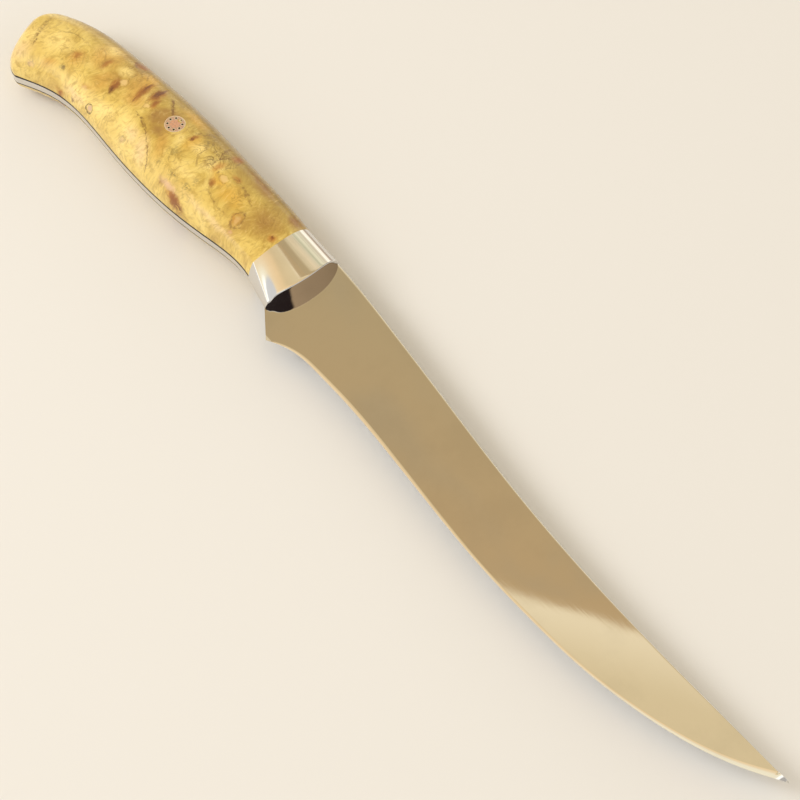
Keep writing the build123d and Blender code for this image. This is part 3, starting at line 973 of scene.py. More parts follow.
@dataclass
class Painter:
    """Adds nodes to a material. Every method returns the socket that its node gives."""

    nodes: object
    links: object

    def put(self, kind: str, *inputs, **settings):
        """Adds one node.

        Args:
            kind: type of the node.
            inputs: a socket or a value for each input in turn, or None to leave one alone.
            settings: properties of the node.

        Returns:
            The node.
        """
        node = self.nodes.new(kind)
        for name, value in settings.items():
            setattr(node, name, value)
        for place, value in zip(node.inputs, inputs):
            if isinstance(value, bpy.types.NodeSocket):
                self.links.new(value, place)
            elif value is not None:
                place.default_value = value
        return node

    def knife_place(self, placement: Placement):
        """The shaded spot's place in millimetres, counted as the knife's places are."""
        source = self.put("ShaderNodeTexCoord").outputs["Object"]
        middle = (placement.middle_x, placement.middle_y, placement.middle_z)
        return self.vector("ADD", self.scaled(source, 1 / MILLIMETRE), middle)

    def math(self, operation: str, *inputs):
        """A sum, product or other result of one to three numbers."""
        return self.put("ShaderNodeMath", *inputs, operation=operation).outputs[0]

    def vector(self, operation: str, *inputs):
        """A vector made from one or two vectors."""
        return self.put("ShaderNodeVectorMath", *inputs, operation=operation).outputs["Vector"]

    def scaled(self, vector, factor: float):
        """A vector made longer or shorter."""
        node = self.put("ShaderNodeVectorMath", vector, operation="SCALE")
        node.inputs["Scale"].default_value = factor
        return node.outputs["Vector"]

    def measure(self, operation: str, *inputs):
        """A number made from one or two vectors."""
        return self.put("ShaderNodeVectorMath", *inputs, operation=operation).outputs["Value"]

    def noise(self, place, scale: float, detail: float = 2.0, roughness: float = 0.5):
        """Cloudy noise around one half."""
        return self.put("ShaderNodeTexNoise", place, None, scale, detail, roughness).outputs["Fac"]

    def wander(self, place, scale: float, reach: float, detail: float = 2.0):
        """A place moved about by cloudy noise, at most about half the reach each way."""
        node = self.put("ShaderNodeTexNoise", place, None, scale, detail)
        centred = self.vector("SUBTRACT", node.outputs["Color"], (0.5, 0.5, 0.5))
        return self.vector("ADD", place, self.scaled(centred, reach))

    def step(self, value, start: float, stop: float, low: float = 0.0, high: float = 1.0):
        """A soft step from low at the start to high at the stop."""
        ends = (start, stop, low, high)
        node = self.put("ShaderNodeMapRange", value, *ends, interpolation_type="SMOOTHSTEP")
        return node.outputs["Result"]

    def ramp(self, value, stops: tuple):
        """A colour that follows a value.

        Args:
            value: socket with the value.
            stops: places from 0 to 1 with their colours.

        Returns:
            The colour's socket.
        """
        node = self.put("ShaderNodeValToRGB", value)
        elements = node.color_ramp.elements
        for element, (position, colour) in zip(elements, (stops[0], stops[-1])):
            element.position = position
            element.color = colour
        for position, colour in stops[1:-1]:
            elements.new(position).color = colour
        return node.outputs["Color"]

    def mix(self, share, below, above):
        """One colour over another.

        Args:
            share: how much of the upper colour shows.
            below: the lower colour.
            above: the upper colour.

        Returns:
            The mixed colour's socket.
        """
        node = self.put("ShaderNodeMix", data_type="RGBA", blend_type="MIX")
        for place, value in ((0, share), (6, below), (7, above)):
            socket = node.inputs[place]
            if isinstance(value, bpy.types.NodeSocket):
                self.links.new(value, socket)
            else:
                socket.default_value = value
        return node.outputs[2]


@dataclass(frozen=True)
class Polish:
    """A polished metal with fine rubbing lines along the knife and faint smudges in its gloss."""

    name: str
    colour: tuple
    roughness: float
    smudge: float = 0.03
    smudge_scale: float = 55.0
    line_scale: tuple = (60.0, 2600.0, 2600.0)
    line_depth: float = 0.012
    line_distance: float = 0.0001
    dulling: float = 0.05

    def material(self):
        """Makes the node material.

        Cloudy noise raises the roughness a little in patches and dulls the colour there. Noise drawn
        out along the knife gives fine rubbing lines as a slight bump.
        """
        material, nodes, links, shader = blank_material(self.name)
        painter = Painter(nodes, links)
        place = nodes.new("ShaderNodeTexCoord").outputs["Object"]
        clouds = painter.noise(place, self.smudge_scale, 5.0, 0.6)
        worn = painter.step(clouds, 0.42, 0.72)
        rough = painter.math("MULTIPLY_ADD", worn, self.smudge, self.roughness)
        dull = tuple(part * (1 - self.dulling) for part in self.colour)
        lines = painter.noise(painter.vector("MULTIPLY", place, self.line_scale), 1.0, 3.0, 0.7)
        bump = painter.put("ShaderNodeBump", self.line_depth, self.line_distance)
        links.new(lines, bump.inputs["Height"])
        links.new(bump.outputs["Normal"], shader.inputs["Normal"])
        links.new(painter.mix(worn, (*self.colour, 1), (*dull, 1)), shader.inputs["Base Color"])
        links.new(rough, shader.inputs["Roughness"])
        shader.inputs["Metallic"].default_value = 1.0
        return material


@dataclass(frozen=True)
class Grained:
    """A dull solid, such as fibre, with a fine grain in its colour and its gloss."""

    name: str
    dark: tuple
    light: tuple
    roughness: float
    grain: float = 1400.0

    def material(self):
        """Makes the node material: noise mixes the two colours and roughens the darker one."""
        material, nodes, links, shader = blank_material(self.name)
        painter = Painter(nodes, links)
        place = nodes.new("ShaderNodeTexCoord").outputs["Object"]
        grain = painter.noise(place, self.grain, 3.0, 0.6)
        links.new(painter.mix(grain, self.dark, self.light), shader.inputs["Base Color"])
        rough = painter.math("MULTIPLY_ADD", grain, -0.15, self.roughness + 0.1)
        links.new(rough, shader.inputs["Roughness"])
        return material


@dataclass(frozen=True)
class Patch:
    """A round or oval mark, full in its middle and soft towards its rim.

    Its centre and reach are in millimetres, counted as knife places, and its turn is in degrees.
    """

    centre: tuple
    reach: tuple
    turn: float = 0.0
    strength: float = 1.0
    softness: float = 0.9

    def radius(self, painter: Painter, place):
        """Distance from the middle in shares of the oval's reach."""
        turn = math.radians(self.turn)
        long_axis = (math.cos(turn) / self.reach[0], math.sin(turn) / self.reach[0], 0)
        short_axis = (-math.sin(turn) / self.reach[1], math.cos(turn) / self.reach[1], 0)
        off = painter.vector("SUBTRACT", place, (*self.centre, 0))
        along = painter.measure("DOT_PRODUCT", off, long_axis)
        across = painter.measure("DOT_PRODUCT", off, short_axis)
        square = painter.math("MULTIPLY_ADD", across, across, painter.math("MULTIPLY", along, along))
        return painter.math("SQRT", square)

    def mask(self, painter: Painter, place):
        """A mask that is full inside and fades out over the soft part."""
        return painter.step(self.radius(painter, place), 1.0, 1.0 - self.softness, 0.0, self.strength)


@dataclass(frozen=True)
class Ring(Patch):
    """An oval line round a place."""

    width: float = 0.25

    def mask(self, painter: Painter, place):
        """A mask that is full where the distance equals the oval's reach."""
        off = painter.math("ABSOLUTE", painter.math("SUBTRACT", self.radius(painter, place), 1.0))
        return painter.step(off, self.width, 0.0, 0.0, self.strength)


@dataclass(frozen=True)
class Flame(Patch):
    """An oval mark made of fine streaks that run across the handle, or along it."""

    noise_start: float = 0.42
    noise_full: float = 0.58
    steep: float = 45.0
    lean: float = -78.0
    drawn: float = 0.33
    fine: float = 1.5
    lift: float = 0.16

    def mask(self, painter: Painter, place):
        """The oval's mask where noise drawn out the way of the oval is high."""
        lie = math.radians(self.lean if abs(self.turn) > self.steep else 0)
        run = (self.drawn * math.cos(lie), self.drawn * math.sin(lie), 0)
        rise = (-self.fine * math.sin(lie), self.fine * math.cos(lie), 0)
        along = painter.measure("DOT_PRODUCT", place, run)
        across = painter.measure("DOT_PRODUCT", place, rise)
        drawn = painter.put("ShaderNodeCombineXYZ", along, across).outputs["Vector"]
        noise = painter.noise(drawn, 1.0, 3.0, 0.6)
        body = super().mask(painter, place)
        lifted = painter.math("MULTIPLY_ADD", body, self.lift, noise)
        return painter.math("MULTIPLY", body, painter.step(lifted, self.noise_start, self.noise_full))


@dataclass(frozen=True)
class Bow:
    """A thin mark along the arc through three knife places, fading at both ends."""

    places: tuple
    width: float
    strength: float = 1.0
    fade: float = 0.14
    core_share: float = 0.2

    def mask(self, painter: Painter, place):
        """A mask that falls off with the distance to the arc, between its two ends."""
        a, b, c = np.array(self.places, dtype=float)
        centre = np.linalg.solve(2 * np.array([b - a, c - a]), [b @ b - a @ a, c @ c - a @ a])
        radius = float(np.linalg.norm(a - centre))
        chord = (c - a) / ((c - a) @ (c - a))
        outward = (b - centre) / radius
        from_centre = painter.vector("SUBTRACT", place, (*centre.tolist(), 0))
        past_arc = painter.math("SUBTRACT", painter.measure("LENGTH", from_centre), radius)
        off = painter.math("ABSOLUTE", past_arc)
        line = painter.step(off, self.width, self.width * self.core_share, 0.0, self.strength)
        from_start = painter.vector("SUBTRACT", place, (*a.tolist(), 0))
        along = painter.measure("DOT_PRODUCT", from_start, (*chord.tolist(), 0))
        near_side = painter.measure("DOT_PRODUCT", from_centre, (*outward.tolist(), 0))
        start, stop = painter.step(along, 0.0, self.fade), painter.step(along, 1.0, 1 - self.fade)
        window = painter.math("MULTIPLY", start, stop)
        window = painter.math("MULTIPLY", window, painter.step(near_side, 0.0, radius * self.core_share))
        return painter.math("MULTIPLY", line, window)


@dataclass(frozen=True)
class Stain:
    """Marks of one colour that are laid over the wood together.

    A break scale of 0 leaves the marks whole. Otherwise noise of that scale hides them where it is
    under the low limit and shows them fully where it is over the high one.
    """

    colour: tuple
    marks: tuple
    opacity: float = 1.0
    break_scale: float = 0.0
    break_low: float = 0.35
    break_high: float = 0.6

    def lay(self, painter: Painter, place, plain_place, below):
        """Lays the stain over a colour.

        Args:
            painter: adds the nodes.
            place: the wandering place that the marks follow.
            plain_place: the place that the noise follows.
            below: colour under the stain.

        Returns:
            The new colour.
        """
        whole = self.marks[0].mask(painter, place)
        for mark in self.marks[1:]:
            whole = painter.math("MAXIMUM", whole, mark.mask(painter, place))
        if self.break_scale:
            noise = painter.noise(plain_place, self.break_scale, 4.0, 0.6)
            whole = painter.math("MULTIPLY", whole, painter.step(noise, self.break_low, self.break_high))
        return painter.mix(painter.math("MULTIPLY", whole, self.opacity), below, self.colour)


# Broad tints of the wood, laid over its ground colour; among them are painted shade along the spine and a
# painted highlight along the belly ridge
ZONES = (
    # Golden tints
    Stain(
        shade(212, 164, 74),
        (
            Patch((-89, 3), (8, 8)), Patch((-73, 4), (7, 8)), Patch((-95, -4), (5, 5)),
            Patch((-51, -4), (3, 7), 40), Patch((-100, -11), (4, 2), 40), Patch((-82, -3), (5, 6)),
            Patch((-70, 0), (6, 5)),
        ),
        0.8,
    ),
    # Bright gold round the front pale disc and along the spine
    Stain(
        shade(222, 174, 66),
        (
            Patch((-22, 0), (8.5, 4.8), 8), Patch((-29, 1), (6, 3)), Patch((-45, 3), (3, 5)),
            Patch((-52, 9), (8, 3)), Patch((-73, 8), (4, 4)),
        ),
        0.8,
    ),
    # Pale yellow
    Stain(
        shade(252, 224, 138),
        (
            Patch((-63, -7.5), (10, 4.5), -14), Patch((-104, -5), (8, 6), 20),
            Patch((-86, -10.5), (14, 2.6)), Patch((-75, -9), (8, 3.5)), Patch((-42, 3), (4, 3)),
            Patch((-80, 4), (4, 3)), Patch((-112, -9), (5, 10), -25), Patch((-38, -4.5), (8, 3)),
            Patch((-90, 6), (4, 3)),
        ),
        0.85,
    ),
    # Cream at the butt and on the belly, and a painted highlight in cream in narrow strips along the belly
    # ridge
    Stain(
        shade(240, 208, 150),
        (
            Patch((-54, -9), (7, 3.6), -38), Patch((-110, -14), (5, 6)),
            # Narrow strips along the belly ridge, from the joint and near the butt: painted highlight
            Patch((-20, -8.5), (17, 1.4), 1, 0.9), Patch((-86, -11.4), (8, 1.3)),
            Patch((-60, -8), (5, 3), -20),
        ),
        0.75,
    ),
    # Brown shadows, the largest before the mosaic pin
    Stain(
        shade(160, 116, 56),
        (
            Patch((-58.6, 2.5), (4.6, 6.4), -38, 1.0, 0.55), Patch((-8, 2), (9, 7)),
            Patch((-18, 9), (8, 3), -8), Patch((-3, 9), (5, 4)), Patch((-55.5, -2.0), (3.6, 3)),
            Patch((-87, 1.5), (1.8, 3.4)), Patch((-12, -2), (5, 5), 0, 0.6),
        ),
        0.72,
    ),
    # Painted shade: dark olive along the spine, where the side turns away from the light, broken up by
    # noise
    Stain(
        shade(120, 90, 30),
        (
            Patch((-60, 13.8), (66, 4.2), -1, 0.9), Patch((-102, 8.5), (12, 2.6), 20, 0.7),
            Patch((-34, 8), (7, 4), 20, 0.6), Patch((-14, 11), (16, 3.0), -4, 0.8),
            Patch((-42, 8.5), (4, 3), 30),
        ),
        0.62, 0.25, 0.3, 0.6,
    ),
)

# Marks of the wood, laid over its fibres
MARKS = (
    # Orange glow round the flames and spots
    Stain(
        shade(188, 122, 40),
        (
            Patch((-78.4, -2.0), (3.6, 1.9), -61), Patch((-70.6, 3.2), (6.0, 2.0), -81),
            Patch((-66.4, 5.6), (4.4, 2.3), -87), Patch((-64.2, 3.0), (3.0, 1.5), -80),
            Patch((-46.3, 4.4), (2.6, 1.2), 73, 0.8), Patch((-96, -3.2), (1.9, 2.2), 0, 0.7),
            Patch((-79.8, 9.6), (3.6, 1.8), 20, 0.9), Patch((-2.2, 0.2), (2.3, 2.0)),
            Patch((-34.5, -12.0), (6.0, 1.5), -5), Patch((-33.0, 3.6), (1.8, 3.6), -8, 0.8),
            Patch((-32.2, 9.8), (2.6, 2.2)), Patch((-14.6, -3.6), (2.9, 3.3), 20, 0.8),
            Patch((-12.8, -7.2), (1.8, 1.2), 0, 0.6), Patch((-86.8, 1.6), (1.4, 3.2), 0, 0.7),
            Patch((-84.5, -8.0), (3.4, 1.0), 10, 0.5), Patch((-29.6, -1.0), (2.6, 1.1), -50, 0.8),
            Patch((-25.6, 5.0), (2.8, 1.2), 0, 0.8), Patch((-91.8, -13.2), (2.4, 0.7), 10),
        ),
        0.85, 0.6, 0.2, 0.5,
    ),
    # Rust brown flames and spots
    Stain(
        shade(138, 76, 20),
        (
            Flame((-78.2, -1.6), (4.1, 2.2), -61), Flame((-70.5, 3.4), (6.7, 2.3), -81, 0.9),
            Flame((-66.8, 6.0), (4.8, 2.5), -87), Flame((-64.5, 3.6), (3.3, 1.7), -84, 0.9),
            Flame((-46.3, 4.4), (3.1, 1.5), 73, 0.8), Flame((-80.2, 9.4), (3.9, 2.0), 15, 0.7),
            Flame((-33.6, -12.2), (5.5, 2.0), -6), Flame((-32.2, 9.8), (2.8, 2.7), 60, 0.6),
            Flame((-41.2, -11.6), (1.8, 1.5), 0, 0.6), Flame((-96, -3.2), (2.8, 2.4), 60, 0.5),
            Flame((-87, 1.4), (3.7, 1.7), -84, 0.45), Flame((-29.4, -1.7), (2.3, 1.2), -52, 0.8),
            Flame((-22, 10.2), (8.0, 2.0), -4, 0.5), Flame((-4.0, 9.2), (4.6, 2.4), -10, 0.5),
            Patch((-2.3, 0.3), (1.15, 1.35), 0, 0.85), Patch((-91.8, -13.3), (1.4, 0.45), 8, 0.8),
            Patch((-25.3, 5.2), (1.4, 0.6), -8, 0.6),
        ),
        0.85,
    ),
    # Dark cores of the flames
    Stain(
        shade(96, 44, 18),
        (
            Flame((-77.6, -3.5), (2.4, 1.4), -58, 1.0, 0.9),
            Flame((-66.9, 6.6), (3.7, 1.5), -87, 0.9, 0.9),
            Flame((-71.0, 5.4), (3.2, 1.0), -84, 0.7, 0.9), Flame((-70.1, -0.4), (2.2, 0.6), -70, 0.6),
            Flame((-46.4, 3.6), (1.6, 0.7), 73, 0.6), Flame((-31.6, -12.6), (3.0, 1.0), -6, 0.7),
            Patch((-86.2, -12.5), (1.5, 0.4), 0, 0.8), Patch((-31.4, 2.5), (0.55, 0.8), 0, 0.6),
            Patch((-2.5, 0.6), (0.6, 0.7), 0, 0.6),
        ),
        0.85,
    ),
    # Cracks, streaks and curved lines
    Stain(
        shade(112, 70, 26),
        (
            Bow(((-114.2, 0.4), (-112.0, -4.8), (-108.7, -10.8)), 1.01, 0.55),
            Bow(((-111.4, -5.8), (-109.9, -8.2), (-108.6, -11.0)), 0.54, 0.8),
            Bow(((-107.2, -2.2), (-103.6, 0.9), (-98.4, 1.7)), 0.47, 0.5),
            Bow(((-63.2, 8.5), (-60.0, 6.5), (-56.6, 4.4)), 0.74, 0.9),
            Bow(((-66.6, -2.8), (-57.2, -5.2), (-47.4, -13.4)), 0.38, 0.8, 0.1),
            Bow(((-66.8, -2.9), (-61.6, -3.2), (-57.6, -4.6)), 0.41, 0.6),
            Bow(((-48.0, 5.4), (-45.4, 7.8), (-43.4, 11.0)), 0.68, 0.6),
            Bow(((-44.6, 11.6), (-43.8, 9.6), (-44.0, 7.6)), 1.08, 0.5),
            Bow(((-33.4, 8.6), (-34.9, 5.4), (-34.6, 1.8)), 0.61, 0.8),
            Bow(((-38.2, 4.4), (-36.6, 2.0), (-33.6, 1.2)), 0.68, 0.5),
            Bow(((-40.6, 6.2), (-39.8, 1.6), (-37.0, -1.4)), 0.54, 0.5),
            Bow(((-31.0, 10.2), (-30.2, 7.0), (-31.4, 4.0)), 0.54, 0.45),
            Bow(((-36.8, 11.2), (-36.6, 8.4), (-34.6, 6.2)), 0.68, 0.5),
            Bow(((-27.8, 4.6), (-22.0, 4.4), (-14.6, 1.8)), 0.68, 0.6),
            Bow(((-21.0, 4.0), (-19.4, 3.2), (-17.6, 2.4)), 0.54, 0.6),
            Bow(((-29.2, -3.0), (-23.4, -4.7), (-17.6, -4.9)), 0.54, 0.5),
            Ring((-14.3, -3.4), (1.75, 2.6), 12, 0.65, 0.9, 0.3),
            Patch((-14.2, -1.0), (0.7, 0.45), 0, 0.8),
            Bow(((-14.0, -6.0), (-12.4, -5.2), (-11.4, -3.8)), 0.47, 0.6),
            Bow(((-93.4, 4.0), (-90.4, 3.4), (-88.2, 1.0)), 0.54, 0.35),
            Bow(((-76.8, 11.0), (-74.8, 7.8), (-71.6, 5.0)), 0.41, 0.35),
            Bow(((-82.4, 11.0), (-81.4, 8.6), (-78.6, 8.2)), 0.61, 0.6),
            Patch((-110.6, -3.1), (1.0, 0.5), -20, 0.6), Patch((-95.2, -8.8), (1.1, 1.3), 20, 0.5),
        ),
        0.9, 1.1, 0.34, 0.58,
    ),
    # Greyish olive smudges
    Stain(
        shade(128, 108, 62),
        (
            Patch((-39.5, -8.0), (3.6, 1.6), 5, 0.9), Patch((-33.5, -7.6), (3.0, 1.3), 0, 0.9),
            Patch((-46.0, -2.6), (2.6, 3.0), 30, 0.6), Patch((-46.6, -8.4), (2.2, 1.4), 0, 0.6),
            Patch((-33.0, -4.6), (1.6, 2.4), 40, 0.6), Patch((-95.4, -9.0), (1.6, 1.6)),
            Patch((-41.8, 6.6), (2.6, 2.6), 0, 0.7), Patch((-36.4, 3.4), (2.2, 2.2), 0, 0.6),
            Patch((-77.0, -6.8), (1.0, 1.4), 0, 0.6), Patch((-104.4, -14.8), (2.2, 1.4), 20, 0.7),
            Patch((-61.6, -10.8), (1.3, 1.1), 0, 0.8),
        ),
        0.85, 1.0, 0.4, 0.58,
    ),
    # Rosy smudges
    Stain(
        shade(222, 180, 146),
        (
            Patch((-38.6, -10.8), (5.5, 1.4), 3), Patch((-104.4, -14.8), (2.0, 1.2), 20, 0.6),
            Patch((-84.5, -8.6), (1.6, 0.9), 0, 0.6), Patch((-12.8, -7.2), (1.4, 0.9), 0, 0.7),
            Patch((-61.4, -11.2), (2.0, 1.4), 0, 0.5),
        ),
        0.7, 0.8, 0.3, 0.5,
    ),
    # Pale discs
    Stain(
        shade(234, 198, 130),
        (
            Patch((-77.2, 0.9), (1.5, 1.45), 0, 0.9, 0.5), Patch((-65.3, 0.9), (0.95, 0.9), 0, 0.7, 0.4),
            Patch((-28.4, 2.1), (1.6, 1.5), 0, 0.8, 0.5), Patch((-14.2, -3.5), (1.3, 2.0), 15, 0.5, 0.6),
            Patch((-103.6, -15.0), (1.0, 0.7), 0, 0.7),
        ),
        0.9,
    ),
    # Fine rims of the pale discs and the pin's shadow
    Stain(
        shade(160, 116, 62),
        (
            Ring((-77.2, 0.9), (1.5, 1.45), 0, 0.5, 0.9, 0.12),
            Ring((-28.4, 2.1), (1.6, 1.5), 0, 0.45, 0.9, 0.12),
            Ring((-65.3, 0.9), (1.05, 1.0), 0, 0.4, 0.9, 0.15),
            Ring((-53.9, 3.2), (3.7, 3.7), 0, 0.35, 0.9, 0.15),
        ),
        0.9,
    ),
    # Rosy middle of the eye
    Stain(
        shade(214, 178, 138),
        (
            Patch((-78.5, -11.3), (1.3, 0.75), -12, 1.0, 0.45),
        ),
        1.0,
    ),
    # Dark rims of the eyes
    Stain(
        shade(82, 60, 30),
        (
            Ring((-78.5, -11.3), (1.5, 0.85), -12, 0.95, 0.9, 0.28),
            Ring((-61.6, -11.0), (1.1, 0.8), 0, 0.3, 0.9, 0.4),
        ),
        0.85,
    ),
)


@dataclass(frozen=True)
class PinFilling:
    """Pale filling between the small tubes of the mosaic pin, dark inside their bores."""

    name: str
    placement: Placement
    pin: MosaicPin
    pale: tuple = shade(206, 172, 142)
    rosy: tuple = shade(176, 128, 106)
    dark: tuple = shade(20, 12, 9)
    bore_share: float = 1.15
    roughness: float = 0.4

    def material(self):
        """Makes the node material: speckled filling with a dark round patch at each small tube."""
        material, nodes, links, shader = blank_material(self.name)
        painter = Painter(nodes, links)
        place = painter.knife_place(self.placement)
        filling = painter.mix(painter.noise(place, 1.6, 3.0), self.pale, self.rosy)
        reach = self.pin.ring_tube_bore / 2 * self.bore_share
        centres = self.pin.around(self.pin.ring_tube_count, self.pin.ring_radius) + self.pin.centre
        bores = tuple(Patch(tuple(centre), (reach, reach), 0, 1.0, 0.2) for centre in centres.tolist())
        colour = Stain(self.dark, bores).lay(painter, place, place, filling)
        links.new(colour, shader.inputs["Base Color"])
        shader.inputs["Roughness"].default_value = self.roughness
        return material


@dataclass(frozen=True)
class Wood:
    """Burl wood under a satin finish."""

    name: str
    placement: Placement
    roughness: float = 0.34
    coat: float = 0.6
    coat_roughness: float = 0.12
    cloud_stops: tuple = (
        (0.30, shade(180, 142, 56)),
        (0.42, shade(206, 172, 78)),
        (0.54, shade(226, 196, 100)),
        (0.68, shade(242, 216, 132)),
    )
    # Olive and cream are laid towards the spine and the belly: partly wood tone, partly painted shade and
    # painted light
    olive: tuple = shade(148, 120, 42)
    cream: tuple = shade(240, 206, 120)
    fibre_dark: tuple = shade(152, 108, 38)
    fibre_pale: tuple = shade(248, 220, 142)
    mottle_colour: tuple = shade(168, 132, 48)
    swirl_dark: tuple = shade(116, 80, 28)
    swirl_pale: tuple = shade(248, 218, 130)
    fibre_stretch: tuple = (1.0, 0.26, 0.6)
    swirl_lines: float = 16.0

    def material(self):
        """Makes the node material.

        Object coordinates are turned into knife places in millimetres. Cloudy noise tints the wood from
        dark gold to cream, with painted shade towards the spine and painted light towards the belly, noise
        drawn out across the handle gives the fibres, the lines of equal value of a slow noise give swirls,
        and stains lay the marks at their places over all of that, among them painted shade along the spine
        and a painted highlight along the belly ridge.
        """
        material, nodes, links, shader = blank_material(self.name)
        painter = Painter(nodes, links)
        place = painter.knife_place(self.placement)
        swirled = painter.wander(painter.wander(place, 0.06, 14.0), 0.22, 3.0)
        flat = painter.vector("MULTIPLY", place, (1, 1, 0))
        soft = painter.wander(painter.wander(flat, 0.16, 3.0), 0.6, 1.0, 3.0)
        colour = self.ground(painter, swirled, flat)
        for stain in ZONES:
            colour = stain.lay(painter, soft, place, colour)
        colour = self.fibres(painter, swirled, colour)
        colour = self.swirls(painter, flat, colour)
        fine = painter.wander(painter.wander(flat, 0.36, 1.7, 3.0), 1.4, 0.9, 3.0)
        for stain in MARKS:
            colour = stain.lay(painter, fine, place, colour)
        links.new(colour, shader.inputs["Base Color"])
        grain = painter.noise(painter.vector("MULTIPLY", place, (1.0, 0.3, 1.0)), 4.0, 4.0, 0.6)
        bump = painter.put("ShaderNodeBump", 0.05, 0.0001)
        links.new(grain, bump.inputs["Height"])
        links.new(bump.outputs["Normal"], shader.inputs["Normal"])
        shader.inputs["Roughness"].default_value = self.roughness
        shader.inputs["Coat Weight"].default_value = self.coat
        shader.inputs["Coat Roughness"].default_value = self.coat_roughness
        return material

    def ground(self, painter: Painter, place, flat):
        """Cloudy tints from dark gold to cream, olive towards the spine and cream towards the belly: partly
        the wood's own tone, partly painted shade on the spine side and painted light on the belly side.
        """
        clouds = painter.noise(place, 0.08, 5.0, 0.6)
        height = painter.measure("DOT_PRODUCT", painter.wander(flat, 0.12, 6.0), (0, 1, 0))
        # Olive towards the spine: partly the wood's own tone, partly painted shade of the side turned away
        # from the light
        olive = painter.step(height, 1.0, 12.5, 0.0, 0.75)
        colour = painter.mix(olive, painter.ramp(clouds, self.cloud_stops), self.olive)
        # Cream towards the belly: partly the wood's own tone, partly painted light on the side that faces
        # the light
        pale = painter.step(height, -2.0, -11.0, 0.0, 0.35)
        return painter.mix(pale, colour, self.cream)

    def fibres(self, painter: Painter, place, colour):
        """Fine fibres and mottling over a colour."""
        stretched = painter.vector("MULTIPLY", place, self.fibre_stretch)
        threads = painter.noise(stretched, 1.2, 5.0, 0.65)
        dark = painter.step(threads, 0.46, 0.74, 0.0, 0.42)
        colour = painter.mix(dark, colour, self.fibre_dark)
        pale = painter.step(threads, 0.46, 0.3, 0.0, 0.3)
        colour = painter.mix(pale, colour, self.fibre_pale)
        mottle = painter.noise(place, 0.5, 4.0, 0.6)
        mottled = painter.step(mottle, 0.48, 0.70, 0.0, 0.5)
        return painter.mix(mottled, colour, self.mottle_colour)

    def swirls(self, painter: Painter, flat, colour):
        """Curled streaks along lines of equal value of a slow noise, thick in the burl's knots."""
        curled = painter.wander(painter.wander(flat, 0.1, 8.0), 0.35, 2.2, 3.0)
        slow = painter.noise(curled, 0.11, 2.0, 0.45)
        lines = painter.math("PINGPONG", painter.math("MULTIPLY", slow, self.swirl_lines), 0.5)
        knots = Patch((-37, 5), (11, 7.5), 10).mask(painter, flat)
        more = Patch((-43, -5), (9, 5), 0, 0.55).mask(painter, flat)
        left = Patch((-78, 7), (14, 6), 0, 0.45).mask(painter, flat)
        clouds = painter.step(painter.noise(flat, 0.12, 2.0), 0.5, 0.66, 0.0, 0.4)
        where = painter.math("MAXIMUM", painter.math("MAXIMUM", knots, more), left)
        where = painter.math("MAXIMUM", where, clouds)
        dark = painter.math("MULTIPLY", painter.step(lines, 0.15, 0.0), where)
        colour = painter.mix(painter.math("MULTIPLY", dark, 0.8), colour, self.swirl_dark)
        bright = painter.math("MULTIPLY", painter.step(lines, 0.36, 0.5), where)
        return painter.mix(painter.math("MULTIPLY", bright, 0.3), colour, self.swirl_pale)


def blank_material(name: str) -> tuple:
    """A new node material.

    Args:
        name: its name.

    Returns:
        The material, its nodes, its links and its main shader.
    """
    material = bpy.data.materials.new(name)
    material.use_nodes = True
    nodes, links = material.node_tree.nodes, material.node_tree.links
    return material, nodes, links, nodes["Principled BSDF"]


